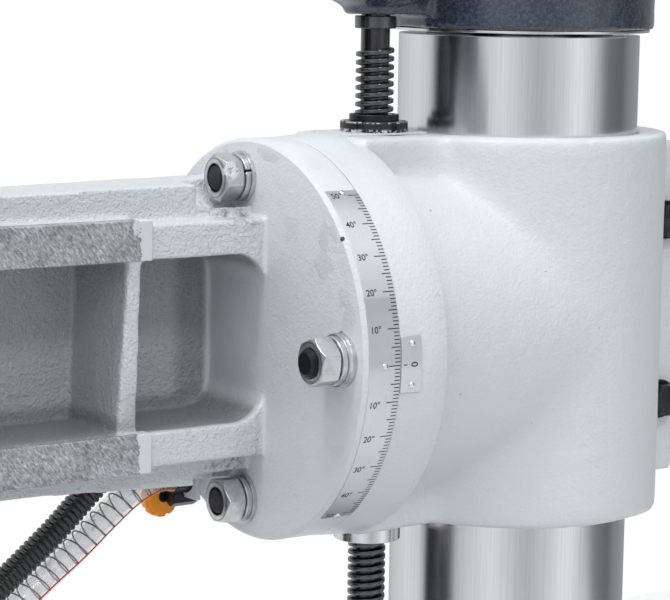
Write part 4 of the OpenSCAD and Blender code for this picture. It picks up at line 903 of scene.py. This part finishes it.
class DRILL_OT_castings(bpy.types.Operator):
    """Rounds the sand castings and gives the flanges their turned rims"""
    bl_idname = "drill.castings"
    bl_label = "Castings and flanges"

    def execute(self, context):
        cell, rounds = sizes().cast_cell, sizes().cast_rounds
        casting("arm_casting", "arm", cell * 0.66, rounds - 3, lumps=0.35)
        casting("arm_sleeve", "enamel", cell, rounds + 5, blend=neck_blend)
        casting("top_cap", "hammered", cell, rounds, lumps=0.5)
        casting("head_casting", "enamel", cell * 1.25, rounds, lumps=0.35)
        casting("column_foot", "enamel", cell * 1.25, rounds, lumps=0.4)
        eased("cap_lid", 2.0, "hammered", 3)
        eased("head_top_cover", 2.5, "hammered", 3)
        eased("base_plate", 1.5, "base")
        arm_rim = [(60, 237.1), (139.3, 237.1), (139.6, 237.0), (142.0, 234.6), (142.1, 234.3),
                   (142.1, 209.3), (141.8, 208.85), (138, 208.8)]
        bm = revolved([(r * MM, x * MM) for r, x in arm_rim], along_x(0, 0, 0), 256)
        piece("arm_flange_rim", bm, "arm", "machine_paint", "arm", 25)
        sleeve_rim = [(138, 208.2), (141.8, 208.2), (142.15, 207.8), (143.75, 188.4), (143.8, 188.0),
                      (145.0, 172.0), (144.6, 170.8), (143.9, 170.4), (110, 170.4)]
        bm = revolved([(r * MM, x * MM) for r, x in sleeve_rim], along_x(0, 0, 0), 512)
        # The seat of the lift nut's plate cuts the rim flat
        seat = rel(*NUT_SEAT)
        for vert in bm.verts:
            if abs(vert.co.y) < seat.y and vert.co.x > seat.x and vert.co.z > seat.z:
                vert.co.z = seat.z
        piece("sleeve_flange_rim", bm, "sleeve", "machine_paint", "enamel", 25)
        return {"FINISHED"}


class DRILL_OT_guides(bpy.types.Operator):
    """Lays the scraped guide faces on the arm's rails, and dresses the rack and the stops"""
    bl_idname = "drill.guides"
    bl_label = "Guides"

    def execute(self, context):
        for name, low, high in (("guide_upper", 63.7, 91.3), ("guide_lower", -82.3, -54.7)):
            bm = bmesh.new()
            box(bm, (-1149.8, GUIDE_BACK, low), (-329, -10, high))
            bmesh.ops.bisect_plane(bm, geom=bm.verts[:] + bm.edges[:] + bm.faces[:],
                                   plane_co=rel(-338, 0, 0), plane_no=(1, 0, 0))
            broken(piece(name, bm, "arm", "ground_steel", "scraped"), 0.7)
        eased("traverse_rack", 0.3, "gear", 1)
        eased("arm_stops", 0.6, "black")
        return {"FINISHED"}


class DRILL_OT_column(bpy.types.Operator):
    """Grinds the column and dresses its foot, cap plate and bearing"""
    bl_idname = "drill.column"
    bl_label = "Column"

    def execute(self, context):
        for node, width, finish in (("column_tube", 0.6, "column"), ("column_plug", 0.6, "machined"),
                                    ("cap_plate", 0.3, "polished"), ("swing_bearing", 0.5, "polished"),
                                    ("foot_bolts", 0.5, "black")):
            eased(node, width, finish)
        return {"FINISHED"}


class DRILL_OT_lift(bpy.types.Operator):
    """Cuts the lift screw's thread and dresses its nut, gears and motor"""
    bl_idname = "drill.lift"
    bl_label = "Lift screw and motor"

    def execute(self, context):
        place = Matrix.Translation(rel(SCREW_X, 0, THREAD_BOTTOM))
        top = (THREAD_TOP - THREAD_BOTTOM) * MM
        profile = [(0.0101, 0.0), (0.0101, 0.16), (0.0130, 0.28), (0.0137, 0.33), (0.0139, 0.40),
                   (0.0139, 0.71), (0.0137, 0.79), (0.0130, 0.84), (0.0101, 0.95), (0.0101, 1.0)]
        turns = thread(profile, sizes().lift_pitch, top + sizes().lift_pitch, place)
        core = [(0.0, -0.004), (0.0085, -0.004), (0.0100, 0.0), (0.0100, top), (0.0105, top + 0.0005),
                (0.0105, top + 0.0168), (0.0144, top + 0.0168), (0.0150, top + 0.0174),
                (0.0150, top + 0.0252), (0.0144, top + 0.0258), (0.0105, top + 0.0258),
                (0.0105, top + 0.048), (0.0090, top + 0.050), (0.0090, top + 0.068), (0.0, top + 0.068)]
        bm = joined(turns, revolved(core, place, 64))
        screw = piece("lift_screw_turned", bm, "lift_screw", "black_steel", "thread", 30)
        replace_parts(screw, "elevating_screw")
        for node, width, finish in (("lift_gear", 0.3, "gear"), ("screw_bearing", 0.5, "polished"),
                                    ("lift_pinion", 0.3, "gear"), ("lift_nut", 0.5, "polished"),
                                    ("nut_lock_ring", 0.5, "ring"), ("nut_washer", 0.6, "black"),
                                    ("nut_plate", 0.4, "enamel"), ("pivot_pin", 1.0, "machined"),
                                    ("sleeve_clamp_bolts", 0.5, "black"), ("lift_motor", 0.8, "motor"),
                                    ("lift_fan_cover", 1.5, "cover")):
            eased(node, width, finish)
        return {"FINISHED"}


class DRILL_OT_fasteners(bpy.types.Operator):
    """Cuts the studs' threads and dresses the flange's nuts and washers"""
    bl_idname = "drill.fasteners"
    bl_label = "Studs and nuts"

    def execute(self, context):
        pitch = sizes().stud_pitch
        form = [(0.0088, 0.0), (0.0088, 0.12), (0.00985, 0.46), (0.00985, 0.62), (0.0088, 0.97),
                (0.0088, 1.0)]
        parts = []
        for i, end in enumerate(STUD_ENDS):
            seat = stud_place(i, STUD_SEAT)
            stem = [(0.0, -0.0246), (0.0160, -0.0246), (0.0165, -0.0240), (0.0165, -0.0130),
                    (0.0160, -0.0124), (0.0100, -0.0124), (0.0100, 0.045), (0.0088, 0.046),
                    (0.0088, end - 0.0012), (0.0076, end), (0.0, end)]
            parts.append(revolved(stem, seat @ Matrix.Translation((0, 0, 0.0002)), 48))
            parts.append(thread(form, pitch, end - 0.0455, seat @ Matrix.Translation((0, 0, 0.0465))))
        studs = piece("flange_stud_set", joined(*parts), body_of("flange_studs"), slot_of("flange_studs"),
                      "black", 30)
        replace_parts(studs, "flange_studs")
        eased("flange_nuts", 0.3, "zinc")
        eased("spring_washers", 0.5, "zinc")
        eased("flat_washers", 0.4, "zinc")
        return {"FINISHED"}


class DRILL_OT_scale(bpy.types.Operator):
    """Prints the tilt scale and its zero mark, and sets their rivets"""
    bl_idname = "drill.scale"
    bl_label = "Tilt scale"

    def execute(self, context):
        eased("scale_plate", 0.15, "plate", 1)
        eased("zero_plate", 0.2, "plate", 1)
        bm = bmesh.new()
        for angle in range(-50, 51):
            reach = next(length for step, length in DEGREE_LINES if angle % step == 0)
            rim_patch(bm, SCALE_EDGE - 0.2 - reach / 2, angle, PLATE_R, reach, 0.72, 0.08)
        for tens in range(1, 6):
            for side in (1, -1):
                low = 0.0 if side > 0 else -0.4
                figures(bm, f"{tens * 10}°", 4.9, SCALE_EDGE - 18.5, side * tens * 10 + low, PLATE_R)
        piece("scale_print", bm, "arm", "black_plastic", "ink")
        bm = bmesh.new()
        rim_patch(bm, SPLIT + 0.5 + 4.0, 0, FLANGE_R + 1.55, 4.9, 0.7, 0.08)
        figures(bm, "0", 5.2, SPLIT + 0.5 + 10.0, 0, FLANGE_R + 2.1, turned=True, slope=0.083)
        piece("zero_print", bm, "sleeve", "black_plastic", "ink")
        dome = [(2.3, -0.4), (2.3, 0.1), (2.15, 0.55), (1.7, 0.95), (1.0, 1.2), (0.4, 1.28), (0.0, 1.3)]
        for node, name, places in (
                ("scale_rivets", "scale_rivet_heads",
                 [(SCALE_EDGE - 12.5, angle, PLATE_R) for angle in (-51, 0, 51)]),
                ("zero_rivets", "zero_rivet_heads",
                 [(SPLIT + 9, side * degrees(14 / FLANGE_R), FLANGE_R + 1.9) for side in (-1, 1)])):
            bm = bmesh.new()
            for x, angle, radius in places:
                turn = Matrix.Rotation(radians(-angle), 4, "X") @ Matrix.Rotation(pi / 2, 4, "X")
                revolved([(r * MM, h * MM) for r, h in dome],
                         Matrix.Translation(on_rim(x, angle, radius)) @ turn, 32, bm)
            heads = piece(name, bm, body_of(node), slot_of(node), "rivet", 50)
            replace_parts(heads, node)
        return {"FINISHED"}


class DRILL_OT_hoses(bpy.types.Operator):
    """Winds the clear hose with its wire, and the corrugated conduit"""
    bl_idname = "drill.hoses"
    bl_label = "Hoses"

    def execute(self, context):
        route = Route(HOSE_ROUTE)
        count = round(route.length / sizes().wire_pitch)
        step = route.length / count
        wall = [(HOSE_R, 0.0), (0.0106, 0.2), (0.0104, 0.5), (0.0106, 0.8), (HOSE_R, 1.0)]
        hose = piece("clear_hose_wall", tube(route, wall, HOSE_BORE_R, count, 40), "arm", "clear_hose",
                     "hose", 60)
        rim = [(WIRE_R + WIRE_THICK * cos(i * tau / 10), 0.0010 + WIRE_THICK * sin(i * tau / 10))
               for i in range(10)]
        ring = stacked(one_turn(rim, step, closed=True), step, count - 1)
        bmesh.ops.recalc_face_normals(ring, faces=ring.faces)
        wire = piece("hose_wire", route.bend(ring), "arm", "clear_hose", "wire", 60)
        strip = bmesh.new()
        around = [radians(STRIPE + STRIPE_WIDTH * i / 3) for i in range(4)]
        radius = HOSE_R - 0.00001
        line = [strip.verts.new((radius * cos(a), radius * sin(a), 0.0)) for a in around]
        edges = [strip.edges.new(pair) for pair in zip(line, line[1:])]
        bmesh.ops.spin(strip, geom=line + edges, cent=(0, 0, 0), axis=(0, 0, 1),
                       dvec=(0, 0, route.length / STRIPE_CUTS), angle=radians(STRIPE_TURN),
                       steps=STRIPE_CUTS, use_duplicate=False)
        stripe = piece("hose_stripe", route.bend(strip), "arm", "clear_hose", "stripe", 60)
        solid = stripe.modifiers.new("Thickness", "SOLIDIFY")
        solid.thickness, solid.offset = 0.0003, 0.0
        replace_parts(hose, "coolant_hose")
        rel(*HOSE_ROUTE[0])

        route = Route(CONDUIT_ROUTE)
        count = round(route.length / sizes().conduit_pitch)
        rib = [(0.0086, 0.0), (0.0087, 0.18), (0.0097, 0.30), (0.0100, 0.40), (0.0100, 0.64), (0.0097, 0.74),
               (0.0087, 0.86), (0.0086, 1.0)]
        conduit = piece("corrugated_conduit", tube(route, rib, CONDUIT_BORE_R, count, 32), "arm",
                        "black_hose", "conduit", 60)
        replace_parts(conduit, "power_conduit")
        rel(*CONDUIT_ROUTE[0])
        return {"FINISHED"}


class DRILL_OT_tap(bpy.types.Operator):
    """Dresses the coolant tap, its bracket and the junction box"""
    bl_idname = "drill.tap"
    bl_label = "Coolant tap and junction box"

    def execute(self, context):
        eased("valve_bracket", 0.8, "enamel")
        eased("valve_body", 0.6, "black")
        eased("valve_knob", 0.9, "orange", 3)
        eased("junction_box", 1.2, "dark_plastic")
        centre = [(0.0, 0.0004), (0.0042, 0.0004), (0.0046, 0.0), (0.0046, -0.001), (0.0, -0.001)]
        bm = revolved(centre, along_y(*KNOB_HOLE), 32)
        piece("knob_screw", bm, body_of("valve_knob"), "black_steel", "black")
        return {"FINISHED"}


class DRILL_OT_head(bpy.types.Operator):
    """Dresses the drill head: motor, gears, controls, handwheel, feed handle, quill and spindle"""
    bl_idname = "drill.head"
    bl_label = "Drill head"

    def execute(self, context):
        for node, width, finish in (
                ("head_keeper", 1.0, "machined"), ("drive_motor", 0.8, "motor"),
                ("motor_fan_cover", 1.5, "cover"), ("motor_pinion", 0.3, "gear"),
                ("drive_gear", 0.3, "gear"), ("spindle_cover", 2.0, "hammered"),
                ("control_panel", 3.0, "dark_plastic"), ("stop_button", 2.5, "red_plastic"),
                ("start_button", 1.2, "green_plastic"), ("speed_lever", 0.6, "polished"),
                ("head_clamp_lever", 0.6, "polished"), ("hose_fittings", 1.0, "black"),
                ("feed_hub", 1.0, "machined"), ("feed_spokes", 0.5, "polished"),
                ("traverse_handwheel", 0.8, "polished"), ("wheel_grip", 2.5, "black_plastic"),
                ("quill", 0.5, "polished"), ("quill_bearings", 0.4, "gear"), ("spindle", 0.5, "polished")):
            eased(node, width, finish)
        for name, node, x, y, z, reach, lean in (
                ("speed_knob", "speed_lever", -850, -312, -30, 70, radians(20)),
                ("clamp_knob", "head_clamp_lever", -862, -310, -150, 90, radians(150))):
            ball(name, (x, y - reach * sin(lean), z + reach * cos(lean)), BALL_KNOB, body_of(node))
        return {"FINISHED"}


# The camera as it was fitted to the photo: yaw, pitch and roll in degrees
CAMERA_LENS = 132.34
CAMERA_AT = (-1.16496, -1.44787, 1.61703)
CAMERA_TURNS = (34.662, -7.88, 0.871)
# Name, strength, spread in degrees, and the direction in which it shines
SUNS = (("Key", 1.1, 14, (0.364, 0.114, -0.925)), ("Fill", 0.55, 10, (0.05, 0.755, -0.656)))
FLOOR_HALF = 3.2

# What polished steel mirrors near eye level: (degrees from +X, brightness)
WALL_BANDS = ((0, 0.30), (60, 0.45), (85, 0.70), (118, 0.95), (140, 0.80), (147, 0.0), (174, 0.0),
              (183, 0.70), (217, 1.00), (250, 0.55), (275, 0.85), (291, 1.15), (306, 0.80), (324, 0.22),
              (348, 0.16), (360, 0.30))


def sun(name, strength, spread, direction):
    """A soft sun that shines along a direction; its spread is in degrees."""
    light = bpy.data.lights.new(name, "SUN")
    light.energy, light.angle = strength, radians(spread)
    holder = bpy.data.objects.new(name, light)
    holder.rotation_euler = Vector(direction).to_track_quat("-Z", "Y").to_euler()
    bpy.context.scene.collection.objects.link(holder)


def camera_place(location, yaw, pitch, roll):
    """Where a camera stands: yaw turns it from +Y to +X, pitch lifts it, roll leans it, in degrees."""
    yaw, pitch, roll = (radians(a) for a in (yaw, pitch, roll))
    forward = Vector((sin(yaw) * cos(pitch), cos(yaw) * cos(pitch), sin(pitch)))
    level = Vector((cos(yaw), -sin(yaw), 0))
    upright = level.cross(forward)
    right = level * cos(roll) + upright * sin(roll)
    up = upright * cos(roll) - level * sin(roll)
    return Matrix.Translation(location) @ Matrix((right, up, -forward)).transposed().to_4x4()


class DRILL_OT_stage(bpy.types.Operator):
    """Sets the camera, the pale floor and the studio light"""
    bl_idname = "drill.stage"
    bl_label = "Stage"

    def execute(self, context):
        scene = context.scene
        camera = bpy.data.cameras.new("Camera")
        camera.lens, camera.sensor_width, camera.clip_end = CAMERA_LENS, 36.0, 60.0
        holder = bpy.data.objects.new("Camera", camera)
        holder.matrix_world = camera_place(CAMERA_AT, *CAMERA_TURNS)
        scene.collection.objects.link(holder)
        scene.camera = holder
        bm = bmesh.new()
        bmesh.ops.create_grid(bm, x_segments=1, y_segments=1, size=FLOOR_HALF)
        mesh = bpy.data.meshes.new("floor")
        bm.to_mesh(mesh)
        bm.free()
        floor = Paint("Pale floor", rough=0.8)
        cloud = floor.grain(0.6, 2)
        floor.base = floor.mix(cloud, (0.66, 0.66, 0.66), (0.62, 0.62, 0.62))
        mesh.materials.append(floor.finish())
        ground = bpy.data.objects.new("floor", mesh)
        scene.collection.objects.link(ground)
        for name, strength, spread, direction in SUNS:
            sun(name, strength, spread, direction)
        self.world(scene)
        scene.view_settings.view_transform = "Standard"
        return {"FINISHED"}

    def world(self, scene):
        """A bright ceiling, dimmer walls and dark bands, with a white backdrop for the camera."""
        world = bpy.data.worlds.new("Studio")
        scene.world = world
        world.use_nodes = True
        tree = world.node_tree
        tree.nodes.clear()
        sky = Shader(tree, "Generated")
        side, depth, height = (sky.axis(i) for i in range(3))
        ceiling = height.rising(0.15, 0.95)
        window = side.rising(-0.15, -0.55) * height.rising(-0.5, 0.1) * depth.rising(0.6, 0.0)
        ground = height.rising(0.0, -0.25)
        light = (0.42 + ceiling * 0.76 + window * 0.72) * (1.0 - ground * 0.55)
        seen = sky.node("ShaderNodeLightPath", output="Is Camera Ray")
        mirrored = sky.node("ShaderNodeLightPath", output="Is Glossy Ray")
        azimuth = (depth.turn(side) / tau).wrapped(0.0, 1.0)
        bands = sky.ramp(azimuth, [(angle / 360, (level,) * 3) for angle, level in WALL_BANDS])
        near = height.rising(-0.55, -0.30) * height.rising(0.45, 0.15) * mirrored
        light = light * (1.0 - near) + bands * near
        shine = sky.node("ShaderNodeBackground", {"Color": (0.985, 0.992, 1.0), "Strength": light})
        white = sky.node("ShaderNodeBackground", {"Color": (1, 1, 1), "Strength": 1.0})
        mixed = sky.node("ShaderNodeMixShader", {0: seen, 1: shine, 2: white})
        out = tree.nodes.new("ShaderNodeOutputWorld")
        tree.links.new(mixed.socket, out.inputs["Surface"])


OPERATORS = (DRILL_OT_stage, DRILL_OT_hoses, DRILL_OT_castings, DRILL_OT_guides, DRILL_OT_column,
             DRILL_OT_lift, DRILL_OT_fasteners, DRILL_OT_scale, DRILL_OT_tap, DRILL_OT_head)


class DRILL_PT_panel(bpy.types.Panel):
    """Lists the steps that dress the drill"""
    bl_label = "Radial arm drill"
    bl_idname = "DRILL_PT_panel"
    bl_space_type = "VIEW_3D"
    bl_region_type = "UI"
    bl_category = "Radial drill"

    def draw(self, context):
        for group in (context.scene.drill_sizes, context.scene.drill_colours):
            for name in group.__annotations__:
                self.layout.prop(group, name)
        for operator in OPERATORS:
            self.layout.operator(operator.bl_idname)


CLASSES = (DrillSizes, DrillColours, *OPERATORS, DRILL_PT_panel)


def register():
    for cls in CLASSES:
        bpy.utils.register_class(cls)
    bpy.types.Scene.drill_sizes = PointerProperty(type=DrillSizes)
    bpy.types.Scene.drill_colours = PointerProperty(type=DrillColours)


def unregister():
    del bpy.types.Scene.drill_colours
    del bpy.types.Scene.drill_sizes
    for cls in reversed(CLASSES):
        bpy.utils.unregister_class(cls)


def main():
    register()
    for operator in OPERATORS:
        group, name = operator.bl_idname.split(".")
        getattr(getattr(bpy.ops, group), name)()


if __name__ == "__main__":
    main()
